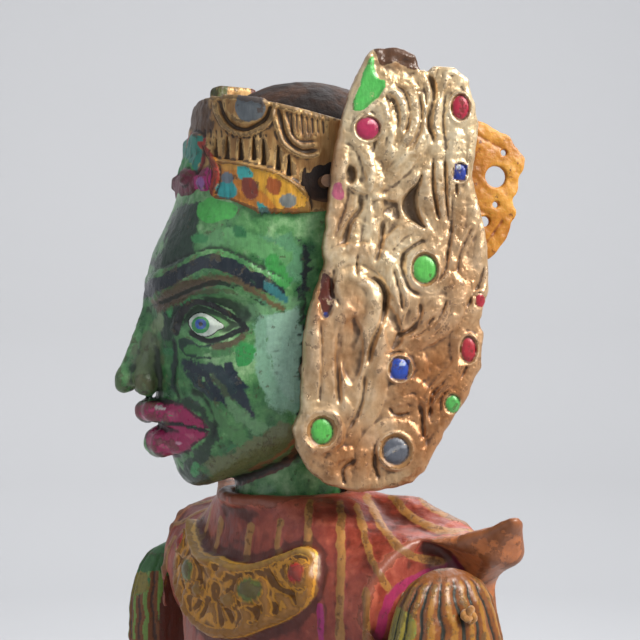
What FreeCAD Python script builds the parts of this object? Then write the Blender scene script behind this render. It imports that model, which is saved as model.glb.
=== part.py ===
import FreeCAD, Part
import Sketcher
import math
import os

# Rod puppet with a carved head on a central rod, a carved torso that turns and slides on the rod,
# two jointed arms worked by hand rods, and a cloth skirt. Millimetres, +Z up, the origin at the tip
# of the central rod's spike, the puppet's front towards -Y and its left side towards +X.

os.makedirs("parts", exist_ok=True)
doc = FreeCAD.newDocument("rod_puppet")
V = FreeCAD.Vector
sheet = doc.addObject("Spreadsheet::Sheet", "dims")
row = [0]


def cell(alias, value):
    """Write one driving dimension to the sheet and return the expression that reads it."""
    row[0] += 1
    sheet.set("A%d" % row[0], alias)
    sheet.set("B%d" % row[0], "%.4f" % value)
    sheet.setAlias("B%d" % row[0], alias)
    return "dims." + alias


def plane(body, role):
    for f in body.Origin.OriginFeatures:
        if f.Role == role:
            return f
    raise RuntimeError(role)


def new_body(label):
    b = doc.addObject("PartDesign::Body", label)
    b.Label = label
    return b


def sketch(body, name, role, offset=0.0, alias=None):
    sk = body.newObject("Sketcher::SketchObject", name)
    sk.AttachmentSupport = [(plane(body, role), "")]
    sk.MapMode = "FlatFace"
    sk.AttachmentOffset = FreeCAD.Placement(V(0, 0, offset), FreeCAD.Rotation())
    if offset:
        sk.setExpression(".AttachmentOffset.Base.z", cell(alias or name + "_offset", offset))
    return sk


def ellipse(body, name, role, offset, cu, cv, a, b):
    """Closed ellipse sketch, its centre and both half axes bound to the sheet."""
    sk = sketch(body, name, role, offset)
    if abs(a - b) < 1e-6:
        g = sk.addGeometry(Part.Circle(V(cu, cv, 0), V(0, 0, 1), a), False)
        c = sk.addConstraint(Sketcher.Constraint("Radius", g, a))
        sk.setExpression("Constraints[%d]" % c, cell(name + "_rad", a))
    else:
        if a > b:
            e = Part.Ellipse(V(cu + a, cv, 0), V(cu, cv + b, 0), V(cu, cv, 0))
        else:
            e = Part.Ellipse(V(cu, cv + b, 0), V(cu - a, cv, 0), V(cu, cv, 0))
        g = sk.addGeometry(e, False)
        sk.exposeInternalGeometry(g)
        c1 = sk.addConstraint(Sketcher.Constraint("Distance", g + 1, 2 * max(a, b)))
        c2 = sk.addConstraint(Sketcher.Constraint("Distance", g + 2, 2 * min(a, b)))
        sk.addConstraint(Sketcher.Constraint("Horizontal" if a > b else "Vertical", g + 1))
        sk.setExpression("Constraints[%d]" % c1, "2 * " + cell(name + "_major", max(a, b)))
        sk.setExpression("Constraints[%d]" % c2, "2 * " + cell(name + "_minor", min(a, b)))
    sk.addConstraint(Sketcher.Constraint("DistanceX", -1, 1, g, 3, cu))
    sk.addConstraint(Sketcher.Constraint("DistanceY", -1, 1, g, 3, cv))
    return sk


def polygon(body, name, role, offset, pts, bound=True):
    """Closed polygon sketch; with bound, every corner is bound to the sheet."""
    sk = sketch(body, name, role, offset)
    n = len(pts)
    for i in range(n):
        p, q = pts[i], pts[(i + 1) % n]
        sk.addGeometry(Part.LineSegment(V(p[0], p[1], 0), V(q[0], q[1], 0)), False)
    for i in range(n):
        sk.addConstraint(Sketcher.Constraint("Coincident", i, 2, (i + 1) % n, 1))
    if bound:
        for i, p in enumerate(pts):
            for kind, v, w in (("DistanceX", p[0], "u"), ("DistanceY", p[1], "v")):
                c = sk.addConstraint(Sketcher.Constraint(kind, -1, 1, i, 1, v))
                if v > 0:
                    sk.setExpression("Constraints[%d]" % c, cell("%s_%s_%d" % (name, w, i), v))
    return sk


def loft(body, name, sections, ruled=False, subtract=False):
    """Loft through ellipses in planes of constant z: (z, cx, cy, half x, half y)."""
    sks = [ellipse(body, "%s_sec_%d" % (name, i), "XY_Plane", s[0], s[1], s[2], s[3], s[4])
           for i, s in enumerate(sections)]
    f = body.newObject("PartDesign::SubtractiveLoft" if subtract else "PartDesign::AdditiveLoft", name)
    f.Profile = sks[0]
    f.Sections = sks[1:]
    f.Ruled = ruled
    return f


def side_loft(body, name, sections):
    """Loft through ellipses in planes of constant x: (x, cy, cz, half y, half z)."""
    sks = [ellipse(body, "%s_sec_%d" % (name, i), "YZ_Plane", s[0], s[1], s[2], s[3], s[4])
           for i, s in enumerate(sections)]
    f = body.newObject("PartDesign::AdditiveLoft", name)
    f.Profile = sks[0]
    f.Sections = sks[1:]
    f.Ruled = False
    return f


def pad(body, name, sk, length, mid=False, rev=False):
    f = body.newObject("PartDesign::Pad", name)
    f.Profile = sk
    f.Length = length
    f.setExpression("Length", cell(name + "_length", length))
    if mid:
        f.SideType = "Symmetric"
    f.Reversed = rev
    return f


def revolve(body, name, sk):
    f = body.newObject("PartDesign::Revolution", name)
    f.Profile = sk
    f.ReferenceAxis = (sk, ["V_Axis"])
    f.Angle = 360
    return f


def cyl(name, r, length, at, direction):
    c = doc.addObject("Part::Cylinder", name)
    c.setExpression("Radius", cell(name + "_radius", r))
    c.setExpression("Height", cell(name + "_height", length))
    c.Placement = FreeCAD.Placement(V(*at), FreeCAD.Rotation(V(0, 0, 1), V(*direction)))
    return c


def ball(name, r, at):
    s = doc.addObject("Part::Sphere", name)
    s.setExpression("Radius", cell(name + "_radius", r))
    s.Placement = FreeCAD.Placement(V(*at), FreeCAD.Rotation())
    return s


def block(name, lo, hi):
    b = doc.addObject("Part::Box", name)
    b.setExpression("Length", cell(name + "_len", hi[0] - lo[0]))
    b.setExpression("Width", cell(name + "_wid", hi[1] - lo[1]))
    b.setExpression("Height", cell(name + "_hgt", hi[2] - lo[2]))
    b.Placement = FreeCAD.Placement(V(*lo), FreeCAD.Rotation())
    return b


def fuse(name, shapes):
    f = doc.addObject("Part::MultiFuse", name)
    f.Shapes = shapes
    return f


def cut(label, base, tools):
    tool = tools[0] if len(tools) == 1 else fuse(label + "_tools", tools)
    c = doc.addObject("Part::Cut", label)
    c.Base = base
    c.Tool = tool
    c.Label = label
    return c


nodes = {}

# ---------------------------------------------------------------- central rod
rod_thin = 3.0
rod_step = 256.0
b = new_body("central_rod")
sk = polygon(b, "rod_profile", "XZ_Plane", 0, [
    (0, 0), (1.3, 0), (4.5, 15), (4.5, 75), (6.4, 80), (6.9, 150), (7.2, 200), (6.6, 240),
    (6.2, rod_step), (rod_thin, rod_step), (rod_thin, 392), (0, 392)])
revolve(b, "rod_turned", sk)
nodes["central_rod"] = b

b = new_body("rod_washer")
pad(b, "washer_pad", ellipse(b, "washer_outer", "XY_Plane", rod_step, 0, 0, 8.5, 8.5), 1.6)
nodes["rod_washer"] = cut("rod_washer_cut", b, [cyl("washer_hole", 3.04, 6, (0, 0, rod_step - 2), (0, 0, 1))])

# wound collar that grips the rod
b = new_body("rest_collar")
sk = polygon(b, "collar_profile", "XZ_Plane", 0, [
    (3.05, 269.0), (7.2, 269.0), (8.0, 270.2), (8.0, 273.4), (7.2, 274.8), (3.05, 274.8)])
revolve(b, "collar_turned", sk)
nodes["rest_collar"] = b

# ---------------------------------------------------------------- head, turned on its neck
turn = FreeCAD.Rotation(V(0, 0, 1), -21)
head_place = FreeCAD.Placement(V(0, 0, 0), turn)


def hv(x, y, z):
    """Point of the head's own frame in the puppet's frame."""
    return tuple(turn.multVec(V(x, y, z)))


b = new_body("head_block")
loft(b, "skull", [
    (366.0, 0, 0, 11.5, 11.4), (370.0, 0, 0, 11.5, 11.4), (374.0, 0, 0, 11.5, 11.4),
    (378.0, 0, 0, 11.5, 11.4), (382.0, 0, -3.5, 14.5, 16.5), (388.0, 0, -4.8, 18.3, 20.4),
    (397.0, 0, -4.0, 21.6, 23.6),
    (410.0, 0, -2.5, 23.2, 25.5), (424.0, 0, -2.5, 23.8, 26.5), (434.0, 0, -1.5, 23.9, 25.0),
    (444.0, 0, 0.0, 23.9, 23.6), (457.0, 0, 0.8, 23.9, 23.0)])
sk = polygon(b, "nose_side", "YZ_Plane", 0, [
    (-24.0, 424.0), (-29.2, 417.0), (-36.0, 399.8), (-34.8, 397.8), (-30.5, 396.6), (-29.0, 391.0),
    (-27.0, 384.0), (-23.5, 379.4), (-16.0, 380.5), (-16.0, 424.0)])
pad(b, "nose_pad", sk, 7.0, mid=True)
loft(b, "dome", [(456.9, 0, 2.0, 20.0, 20.0), (461.5, 0, 3.0, 16.5, 16.5), (463.6, 0, 3.5, 9.0, 9.0)])
tools = [cyl("head_rod_bore", 3.04, 30, (0, 0, 363), (0, 0, 1)),
         block("crest_slot", (-1.05, 16.0, 429.8), (1.05, 40.0, 451.5)),
         cyl("crest_hole_low", 1.02, 14, (-7, 18.6, 434.0), (1, 0, 0)),
         cyl("crest_hole_top", 1.02, 14, (-7, 18.6, 445.0), (1, 0, 0))]
peg_at = [(1.5, 404.0), (-2.0, 440.0)]
for i, (f, z) in enumerate(peg_at):
    tools.append(cyl("peg_hole_right_%d" % i, 1.22, 13, (-29, -f, z), (1, 0, 0)))
    tools.append(cyl("peg_hole_left_%d" % i, 1.22, 13, (16, -f, z), (1, 0, 0)))
head = cut("head", b, tools)
head.Placement = head_place
nodes["head"] = head

# carved ear wings: 4.6 mm plates, outline as (forward, height), flared 6 degrees to the rear
wing_outline = [
    (-4.0, 450.7), (-4.9, 454.5), (-6.2, 458.7), (-8.9, 463.6), (-11.0, 465.2), (-14.8, 465.8),
    (-17.3, 465.3), (-19.2, 464.4), (-20.2, 461.4), (-22.3, 462.4), (-26.7, 461.9), (-29.6, 459.7),
    (-30.6, 455.0), (-31.4, 450.5), (-30.8, 445.2), (-30.2, 440.4), (-31.4, 436.4), (-33.2, 427.5),
    (-33.3, 419.2), (-31.7, 413.5), (-32.4, 410.4), (-31.9, 404.7), (-29.0, 398.4), (-24.8, 392.0),
    (-21.0, 384.4), (-18.4, 382.2), (-14.0, 381.2), (-8.3, 380.4), (-4.0, 381.6), (-0.7, 382.9),
    (2.3, 385.4), (4.4, 389.2), (4.9, 393.0), (3.8, 397.0), (3.2, 411.1), (2.1, 416.0),
    (-0.6, 423.5), (-0.6, 428.5), (-1.6, 437.0), (-2.6, 444.0)]
flare = 6.0
wing_gap = 24.35
for side, s in (("left", 1), ("right", -1)):
    w = new_body("wing_plate_" + side)
    c6 = math.cos(math.radians(flare))
    pts = [(-(f - 3.0) / c6, z) for f, z in wing_outline]
    sk = polygon(w, "wing_outline_" + side, "YZ_Plane", 0, pts, bound=False)
    pad(w, "wing_pad_" + side, sk, 4.6, rev=(s < 0))
    w.Placement = FreeCAD.Placement(V(s * wing_gap, -3.0, 0), FreeCAD.Rotation(V(0, 0, 1), -s * flare))
    wt = [cyl("wing_hole_%s_%d" % (side, i), 1.22, 14, (s * 22 if s > 0 else -36, -f, z), (1, 0, 0))
          for i, (f, z) in enumerate(peg_at)]
    wc = cut("ear_wing_" + side, w, wt)
    wc.Placement = head_place
    nodes["ear_wing_" + side] = wc

pegs = []
for i, (f, z) in enumerate(peg_at):
    for s in (1, -1):
        x0 = 17.0 if s > 0 else -27.4
        p = cyl("wing_peg_%d_%s" % (i, "l" if s > 0 else "r"), 1.2, 10.4, (x0, -f, z), (1, 0, 0))
        pegs.append(p)
g = doc.addObject("Part::Compound", "wing_pegs")
g.Links = pegs
g.Placement = head_place
nodes["wing_pegs"] = g

# rawhide crest in the mid-plane behind the crown
crest_outline = [
    (16.5, 448.6), (24.5, 450.0), (30.0, 454.0), (36.0, 457.2), (41.0, 456.0), (45.3, 454.5),
    (48.0, 452.6), (50.0, 450.6), (51.2, 448.4), (50.6, 445.0), (48.6, 439.5), (49.2, 437.2),
    (48.2, 433.4), (45.6, 428.6), (41.0, 425.0), (34.0, 423.6), (28.0, 426.5), (24.5, 430.6),
    (16.5, 430.6)]
b = new_body("crest_plate")
pad(b, "crest_pad", polygon(b, "crest_outline", "YZ_Plane", 0, crest_outline, bound=False), 2.0, mid=True)
c = cut("back_crest", b, [cyl("crest_eye", 2.3, 10, (-5, 44.7, 444.2), (1, 0, 0)),
                          cyl("crest_bore_low", 1.02, 14, (-7, 18.6, 434.0), (1, 0, 0)),
                          cyl("crest_bore_top", 1.02, 14, (-7, 18.6, 445.0), (1, 0, 0))])
c.Placement = head_place
nodes["back_crest"] = c
g = doc.addObject("Part::Compound", "crest_pegs")
g.Links = [cyl("crest_peg_low", 1.0, 12, (-6, 18.6, 434.0), (1, 0, 0)),
           cyl("crest_peg_top", 1.0, 12, (-6, 18.6, 445.0), (1, 0, 0))]
g.Placement = head_place
nodes["crest_pegs"] = g

# ---------------------------------------------------------------- torso
b = new_body("torso_block")
loft(b, "trunk", [
    (275.0, 0, 0, 25.0, 19.0), (288.0, 0, 0, 26.5, 20.0), (305.0, 0, 0, 27.0, 19.8),
    (322.0, 0, 0, 29.5, 19.6), (338.0, 0, 0.5, 32.0, 19.4), (350.0, 0, 1.5, 34.5, 18.8),
    (360.0, 0, 2.0, 35.5, 17.6), (368.0, 0, 2.0, 32.0, 15.8), (374.0, 0, 1.0, 25.0, 14.2),
    (377.6, 0, 0.0, 17.5, 13.4)])
side_loft(b, "yoke", [
    (-42.0, 6.6, 357.4, 14.6, 15.2), (-30.0, 5.2, 356.5, 15.6, 16.6), (0.1, 3.0, 355.0, 17.0, 19.0),
    (30.0, 5.2, 356.5, 15.6, 16.6), (42.0, 6.6, 357.4, 14.6, 15.2)])
for side, s in (("left", 1), ("right", -1)):
    tip = [(s * x, z) for x, z in ((34.0, 366.0), (43.5, 369.6), (49.0, 373.4), (54.6, 377.2),
                                   (52.0, 377.6), (44.5, 374.4), (36.0, 373.4))]
    sk = polygon(b, "flare_" + side, "XZ_Plane", -18.5, tip, bound=False)
    pad(b, "flare_pad_" + side, sk, 9.7)
shoulder = (43.5, 0.5, 362.0)
right_drop = 8.0     # the right arm's cord is slack, so that arm hangs lower
apex = (0.0, 5.0, 362.0)


def shoulder_z(s):
    return shoulder[2] if s > 0 else shoulder[2] - right_drop


def v_dir(s):
    v = V(s * shoulder[0], shoulder[1] - apex[1], shoulder_z(s) - apex[2])
    v.normalize()
    return tuple(v)



tools = [cyl("neck_socket", 12.0, 20, (0, 0, 365), (0, 0, 1)),
         cyl("torso_rod_bore", 3.08, 100, (0, 0, 270), (0, 0, 1)),
         ball("cord_bore_apex", 1.1, apex)]
for side, s in (("left", 1), ("right", -1)):
    tools.append(cyl("cord_bore_" + side, 1.1, 60, apex, v_dir(s)))
    tools.append(cyl("shoulder_recess_" + side, 11.6, 12, (s * 39.2, 3.2, shoulder_z(s) - 1.8), (s, 0, 0)))
nodes["torso"] = cut("torso", b, tools)

nodes["shoulder_cord"] = fuse("shoulder_cord", [
    cyl("cord_left", 1.0, 41.9, apex, v_dir(1)), cyl("cord_right", 1.0, 42.6, apex, v_dir(-1)),
    ball("cord_bend", 1.0, apex)])

# ---------------------------------------------------------------- skirt, sash, tacks
skirt_secs = [(72.0, 39.5, 38.0), (110.0, 38.6, 37.2), (150.0, 37.2, 35.6), (200.0, 34.4, 32.2),
              (250.0, 31.0, 27.0), (275.0, 28.9, 23.6), (292.0, 28.4, 22.4)]
b = new_body("skirt")
loft(b, "skirt_outer", [(z, 0, 0, a, c) for z, a, c in skirt_secs])
loft(b, "skirt_inner", [(z, 0, 0, a - 1.2, c - 1.2) for z, a, c in skirt_secs], subtract=True)
nodes["skirt"] = b

b = new_body("sash_ring")
loft(b, "sash_outer", [(283.0, 0, 0, 30.6, 24.8), (289.5, 0, 0, 31.4, 25.6), (297.0, 0, 0, 30.2, 24.2)])
inner = new_body("sash_inside")
loft(inner, "sash_inner", [(282.0, 0, 0, 28.85, 23.2), (292.2, 0, 0, 28.55, 22.55), (298.0, 0, 0, 28.3, 22.2)])
nodes["waist_sash"] = cut("waist_sash", b, [inner])

b = new_body("sash_ends_pair")
ends_side = [(-24.7, 282.8), (-25.9, 265.0), (-27.5, 250.0), (-30.1, 225.0), (-32.7, 200.0), (-34.0, 186.0),
             (-35.4, 186.0), (-34.1, 200.0), (-31.5, 225.0), (-28.9, 250.0), (-27.3, 265.0), (-26.1, 282.8)]
strips = []
for i, x0 in enumerate((-10.4, 1.4)):
    e = new_body("sash_end_%d" % i)
    pad(e, "sash_end_pad_%d" % i, polygon(e, "sash_end_side_%d" % i, "YZ_Plane", x0, ends_side, bound=False), 9.0)
    strips.append(e)
doc.removeObject(b.Name)
g = doc.addObject("Part::Compound", "sash_ends")
g.Links = strips
nodes["sash_ends"] = g

tacks = []
for i in range(8):
    t = math.radians(22.5 + 45 * i)
    ex, ey = 31.2 * math.cos(t), 25.4 * math.sin(t)
    nrm = V(math.cos(t) / 31.2, math.sin(t) / 25.4, 0)
    nrm.normalize()
    base = V(ex, ey, 289.5)
    shank = cyl("tack_shank_%d" % i, 0.6, 9.0, tuple(base - nrm * 8.9), tuple(nrm))
    dome = doc.addObject("Part::Cone", "tack_head_%d" % i)
    dome.setExpression("Radius1", cell("tack_head_%d_base" % i, 1.9))
    dome.setExpression("Radius2", cell("tack_head_%d_crown" % i, 0.9))
    dome.setExpression("Height", cell("tack_head_%d_rise" % i, 1.1))
    dome.Placement = FreeCAD.Placement(base + nrm * 0.1, FreeCAD.Rotation(V(0, 0, 1), nrm))
    tacks.append(fuse("tack_%d" % i, [shank, dome]))
g = doc.addObject("Part::Compound", "skirt_tacks")
g.Links = tacks
nodes["skirt_tacks"] = g

# ---------------------------------------------------------------- arms
arm_x = 51.7
rod_x = 59.6
for side, s in (("left", 1), ("right", -1)):
    ax = s * arm_x
    py = shoulder[1]
    low = 0.0 if s > 0 else right_drop
    pz = shoulder_z(s)
    elbow_z = 283.0 - low
    tie_z = 213.0 - low
    nodes["shoulder_loop_" + side] = ball("shoulder_loop_" + side, 1.25, (s * shoulder[0], py, pz))

    k = [cyl("knot_cord_" + side, 1.0, 14.6, (s * 45.1, py, pz), (s, 0, 0)),
         ball("knot_ball_" + side, 2.1, (s * 60.0, py, pz))]
    nodes["shoulder_knot_" + side] = fuse("shoulder_knot_" + side, k)

    # upper arm: domed pleated cuff, then the arm down to the forked elbow
    b = new_body("upper_arm_block_" + side)
    loft(b, "cuff_" + side, [
        (346.0 - low, ax, py, 6.6, 12.2), (351.0 - low, ax, py, 6.6, 12.2), (356.3 - low, ax, py, 6.5, 12.0),
        (360.5 - low, ax, py, 6.0, 10.9), (363.7 - low, ax, py, 5.3, 9.7), (366.5 - low, ax, py, 4.2, 7.6),
        (368.2 - low, ax, py, 2.7, 4.9), (369.2 - low, ax, py, 1.2, 2.2)])
    loft(b, "arm_" + side, [
        (347.0 - low, ax, py, 5.7, 7.4), (330.0 - low, ax, py, 6.0, 7.7), (312.0 - low, ax, py, 5.6, 6.6),
        (296.0 - low, ax, py, 5.4, 5.7), (283.0 - low, ax, py, 5.3, 5.35)])
    cheek = cyl("elbow_cheek_" + side, 5.4, 10.6, (ax - 5.3, py, elbow_z), (1, 0, 0))
    whole = fuse("upper_arm_whole_" + side, [b, cheek])
    nodes["upper_arm_" + side] = cut("upper_arm_" + side, whole, [
        block("elbow_slot_" + side, (ax - 2.25, py - 9, 270.0 - low), (ax + 2.25, py + 9, elbow_z + 6.2)),
        cyl("elbow_bore_" + side, 1.05, 16, (ax - 8, py, elbow_z), (1, 0, 0)),
        cyl("arm_cord_bore_" + side, 1.05, 20, (ax - 10, py, pz), (1, 0, 0))])

    nodes["elbow_cord_" + side] = fuse("elbow_cord_" + side, [
        cyl("elbow_pin_" + side, 1.0, 13.0, (ax - 6.5, py, elbow_z), (1, 0, 0)),
        ball("elbow_knot_in_" + side, 1.7, (ax - 6.95, py, elbow_z)),
        ball("elbow_knot_out_" + side, 1.7, (ax + 6.95, py, elbow_z))])

    # forearm and hand
    f = new_body("forearm_block_" + side)
    loft(f, "forearm_" + side, [
        (275.4 - low, ax, py, 4.4, 4.2), (268.0 - low, ax, py, 5.0, 5.6), (252.0 - low, ax, py, 5.2, 6.0),
        (236.0 - low, ax, py, 4.3, 4.9), (228.0 - low, ax, py, 4.2, 5.2), (220.0 - low, ax, py, 3.9, 6.8),
        (211.0 - low, ax, py, 3.4, 7.6), (203.0 - low, ax, py, 3.1, 7.2), (194.0 - low, ax, py - 0.4, 2.6, 5.4),
        (186.5 - low, ax, py - 0.8, 1.7, 2.8)])
    tongue = cyl("elbow_tongue_" + side, 5.3, 4.0, (ax - 2.0, py, elbow_z), (1, 0, 0))
    neck = block("elbow_neck_" + side, (ax - 2.0, py - 3.9, 274.0 - low), (ax + 2.0, py + 3.9, 281.0 - low))
    thumb = doc.addObject("Part::Cone", "thumb_" + side)
    thumb.setExpression("Radius1", cell("thumb_root_" + side, 2.3))
    thumb.setExpression("Radius2", cell("thumb_tip_" + side, 1.5))
    thumb.setExpression("Height", cell("thumb_reach_" + side, 14.0))
    thumb.Placement = FreeCAD.Placement(V(ax, py - 4.6, 217.5 - low), FreeCAD.Rotation(V(0, 0, 1), V(0, -0.42, -0.9)))
    cuffs = [cyl("bangle_" + side, 6.2, 3.2, (ax, py, 232.0 - low), (0, 0, 1))]
    whole = fuse("forearm_whole_" + side, [f, tongue, neck, thumb] + cuffs)
    nodes["forearm_hand_" + side] = cut("forearm_hand_" + side, whole, [
        cyl("tongue_bore_" + side, 1.05, 10, (ax - 5, py, elbow_z), (1, 0, 0)),
        cyl("palm_bore_" + side, 0.85, 16, (ax - 8, py, tie_z), (1, 0, 0))])

    # cord through the palm, a knot inside and a ring round the hand rod's ball outside
    ring = doc.addObject("Part::Torus", "tie_ring_" + side)
    ring.setExpression("Radius1", cell("tie_ring_major_" + side, 3.15))
    ring.setExpression("Radius2", cell("tie_ring_minor_" + side, 0.75))
    ring.Placement = FreeCAD.Placement(V(s * rod_x, py, tie_z), FreeCAD.Rotation())
    nodes["hand_tie_" + side] = fuse("hand_tie_" + side, [
        cyl("tie_cord_" + side, 0.8, 8.8, (s * 46.9, py, tie_z), (s, 0, 0)),
        ball("tie_knot_" + side, 1.5, (s * 46.3, py, tie_z)), ring])

    r = new_body("hand_rod_turned_" + side)
    sk = polygon(r, "hand_rod_profile_" + side, "XZ_Plane", 0, [
        (0, 6.0), (2.2, 6.0), (3.0, 8.0), (3.1, 20.0), (3.0, 46.0), (2.3, 58.0), (2.0, 120.0),
        (1.6, 200.0 - low), (1.35, 206.0 - low), (1.35, tie_z), (0, tie_z)], bound=True)
    revolve(r, "hand_rod_revolved_" + side, sk)
    r.Placement = FreeCAD.Placement(V(s * rod_x, py, 0), FreeCAD.Rotation())
    nodes["hand_rod_" + side] = fuse("hand_rod_" + side, [r, ball("rod_ball_" + side, 2.3, (s * rod_x, py, tie_z))])

doc.recompute()

# ---------------------------------------------------------------- checks and export
bad = [o.Name for o in doc.Objects if "Invalid" in o.State or "Error" in o.State]
if bad:
    raise RuntimeError("failed: " + ", ".join(bad))
for node, obj in nodes.items():
    if obj.Label != node:
        for other in doc.Objects:
            if other.Label == node:
                other.Label = node + "_raw"
        obj.Label = node
    sh = obj.Shape
    if sh.isNull() or not sh.isValid() or not sh.Solids:
        raise RuntimeError(node + " is not a valid solid")
for node, obj in sorted(nodes.items()):
    sh = obj.Shape
    print("%-22s %2d solids %9.1f mm3" % (node, len(sh.Solids), sh.Volume))
    sh.exportStep("parts/" + node + ".step")
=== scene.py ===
import math
import bpy
import bmesh
import numpy as np
import openvdb as vdb
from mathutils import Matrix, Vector


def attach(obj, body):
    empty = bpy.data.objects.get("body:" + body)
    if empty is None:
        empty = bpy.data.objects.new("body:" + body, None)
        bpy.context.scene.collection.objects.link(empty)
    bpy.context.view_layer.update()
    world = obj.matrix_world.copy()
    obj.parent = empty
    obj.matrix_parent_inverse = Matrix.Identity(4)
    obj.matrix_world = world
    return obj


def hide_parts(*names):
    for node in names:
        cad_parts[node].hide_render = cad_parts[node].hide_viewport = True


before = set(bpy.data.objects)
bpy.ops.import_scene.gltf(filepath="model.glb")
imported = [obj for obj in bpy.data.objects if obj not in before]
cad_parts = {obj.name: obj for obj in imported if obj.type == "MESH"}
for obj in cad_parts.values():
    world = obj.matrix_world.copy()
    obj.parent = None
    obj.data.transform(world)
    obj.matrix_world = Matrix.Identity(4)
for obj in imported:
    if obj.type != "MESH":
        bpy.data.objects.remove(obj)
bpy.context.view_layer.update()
MM = 0.001
RNG = np.random.default_rng(11)

# ------------------------------------------------------------------ the drawing board
# Carved lines and painted areas are drawn on a flat board of 640 by 640 units, which is looked
# at from 300 mm in front of the rod's axis. Each side of the puppet has the same board, mirrored.
AZ, PSI, TURN = math.radians(57), math.radians(78), math.radians(-21)
EYE, PER_MM, SHIFT, ROW = 300.0, 4.8, 6.25, 413.5


def board(off, depth, z):
    s = PER_MM * EYE / (EYE - depth)
    return 320 + s * (off - SHIFT), 320 - s * (z - ROW)


def head_board(F, L, z):
    L = np.abs(L)
    return board(-F * math.sin(PSI) + L * math.cos(PSI), L * math.sin(PSI) + F * math.cos(PSI), z)


def body_board(x, y, z):
    x = np.abs(x)
    return board(x * math.cos(AZ) + y * math.sin(AZ), x * math.sin(AZ) - y * math.cos(AZ), z)


# ------------------------------------------------------------------ curves and areas on the board
def spline(pts, n=5, closed=False):
    p = np.array(pts, float)
    if closed:
        p = np.vstack([p[-1], p, p[0], p[1]])
    else:
        p = np.vstack([2 * p[0] - p[1], p, 2 * p[-1] - p[-2]])
    out = []
    t = np.linspace(0, 1, n, endpoint=False)[:, None]
    for i in range(1, len(p) - 2):
        a, b, c, d = p[i - 1], p[i], p[i + 1], p[i + 2]
        out.append(0.5 * (2 * b + (c - a) * t + (2 * a - 5 * b + 4 * c - d) * t ** 2 + (3 * b - a - 3 * c + d) * t ** 3))
    if not closed:
        out.append(p[-2][None])
    return np.vstack(out)


def line_dist(u, v, pts, reach):
    """Distance to a polyline, and how far along it (0 to 1), for points within reach of it."""
    p = np.asarray(pts, float)
    d = np.full(u.shape, 1e3, np.float32)
    along = np.zeros(u.shape, np.float32)
    m = (u > p[:, 0].min() - reach) & (u < p[:, 0].max() + reach) & (v > p[:, 1].min() - reach) & (v < p[:, 1].max() + reach)
    uu, vv = u[m], v[m]
    best = np.full(uu.shape, 1e6)
    al = np.zeros(uu.shape)
    seg = np.hypot(*(p[1:] - p[:-1]).T)
    tot = seg.sum() + 1e-9
    run = 0
    for a, b, L in zip(p[:-1], p[1:], seg):
        w = b - a
        t = np.clip(((uu - a[0]) * w[0] + (vv - a[1]) * w[1]) / (L * L + 1e-9), 0, 1)
        q = (uu - a[0] - t * w[0]) ** 2 + (vv - a[1] - t * w[1]) ** 2
        k = q < best
        best[k] = q[k]
        al[k] = ((run + t * L) / tot)[k]
        run += L
    d[m] = np.sqrt(best)
    along[m] = al
    return d, along


def area(u, v, pts, smooth=True):
    """Signed distance to a closed outline, positive inside."""
    p = spline(pts, 4, True) if smooth else np.array(pts, float)
    q = np.vstack([p, p[:1]])
    d, _ = line_dist(u, v, q, 30)
    inside = np.zeros(u.shape, bool)
    m = d < 999
    uu, vv = u[m], v[m]
    ins = np.zeros(uu.shape, bool)
    for a, b in zip(q[:-1], q[1:]):
        c = (a[1] > vv) != (b[1] > vv)
        x = (b[0] - a[0]) * (vv - a[1]) / (b[1] - a[1] + 1e-12) + a[0]
        ins ^= c & (uu < x)
    inside[m] = ins
    return np.where(inside, d, -d)


def disc(u, v, cx, cy, rx, ry, ang=0.0):
    a = math.radians(ang)
    x, y = (u - cx) * math.cos(a) + (v - cy) * math.sin(a), -(u - cx) * math.sin(a) + (v - cy) * math.cos(a)
    return (1 - np.sqrt((x / rx) ** 2 + (y / ry) ** 2)) * min(rx, ry)


def stroke(u, v, pts, half, end=None, n=5):
    """Signed distance to a painted stroke, positive inside; half its width, at its start and end."""
    d, t = line_dist(u, v, spline(pts, n), half + 14)
    return half + ((half if end is None else end) - half) * t - d


def soft(x, a=0.0, b=1.0):
    t = np.clip((x - a) / (b - a), 0, 1)
    return t * t * (3 - 2 * t)


def ridge(R, u, v, pts, half, high, n=5):
    """Raise a rounded ridge along a curve (or cut a groove, with high below 0)."""
    d, t = line_dist(u, v, spline(pts, n), half + 2)
    e = np.minimum(1, 6 * np.minimum(t, 1 - t) + 0.35)
    if high > 0:
        return R + high * e * np.sqrt(np.clip(1 - (d / half) ** 2, 0, 1))
    return R + high * e * np.clip(1 - d / half, 0, 1) ** 0.8


# ------------------------------------------------------------------ noise
_lat = RNG.random((24, 24, 24)).astype(np.float32)


def vnoise(p, size, seed=0):
    """Smooth noise from -1 to 1 at points p, in mm, with lumps of that size."""
    q = p / size + 7.3 * seed + 1000
    i = np.floor(q).astype(int)
    f = q - i
    f = f * f * (3 - 2 * f)
    out = 0
    for dx in (0, 1):
        for dy in (0, 1):
            for dz in (0, 1):
                w = (f[:, 0] if dx else 1 - f[:, 0]) * (f[:, 1] if dy else 1 - f[:, 1]) * (f[:, 2] if dz else 1 - f[:, 2])
                out = out + w * _lat[(i[:, 0] + dx) % 24, (i[:, 1] + dy) % 24, (i[:, 2] + dz) % 24]
    return out * 2 - 1


# ------------------------------------------------------------------ solids as distance fields
def smin(a, b, k):
    t = np.clip(0.5 + 0.5 * (b - a) / k, 0, 1)
    return b * (1 - t) + a * t - k * t * (1 - t)


def smax(a, b, k):
    return -smin(-a, -b, k)


def ball(X, Y, Z, c, r):
    return np.sqrt((X - c[0]) ** 2 + (Y - c[1]) ** 2 + (Z - c[2]) ** 2) - r


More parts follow.
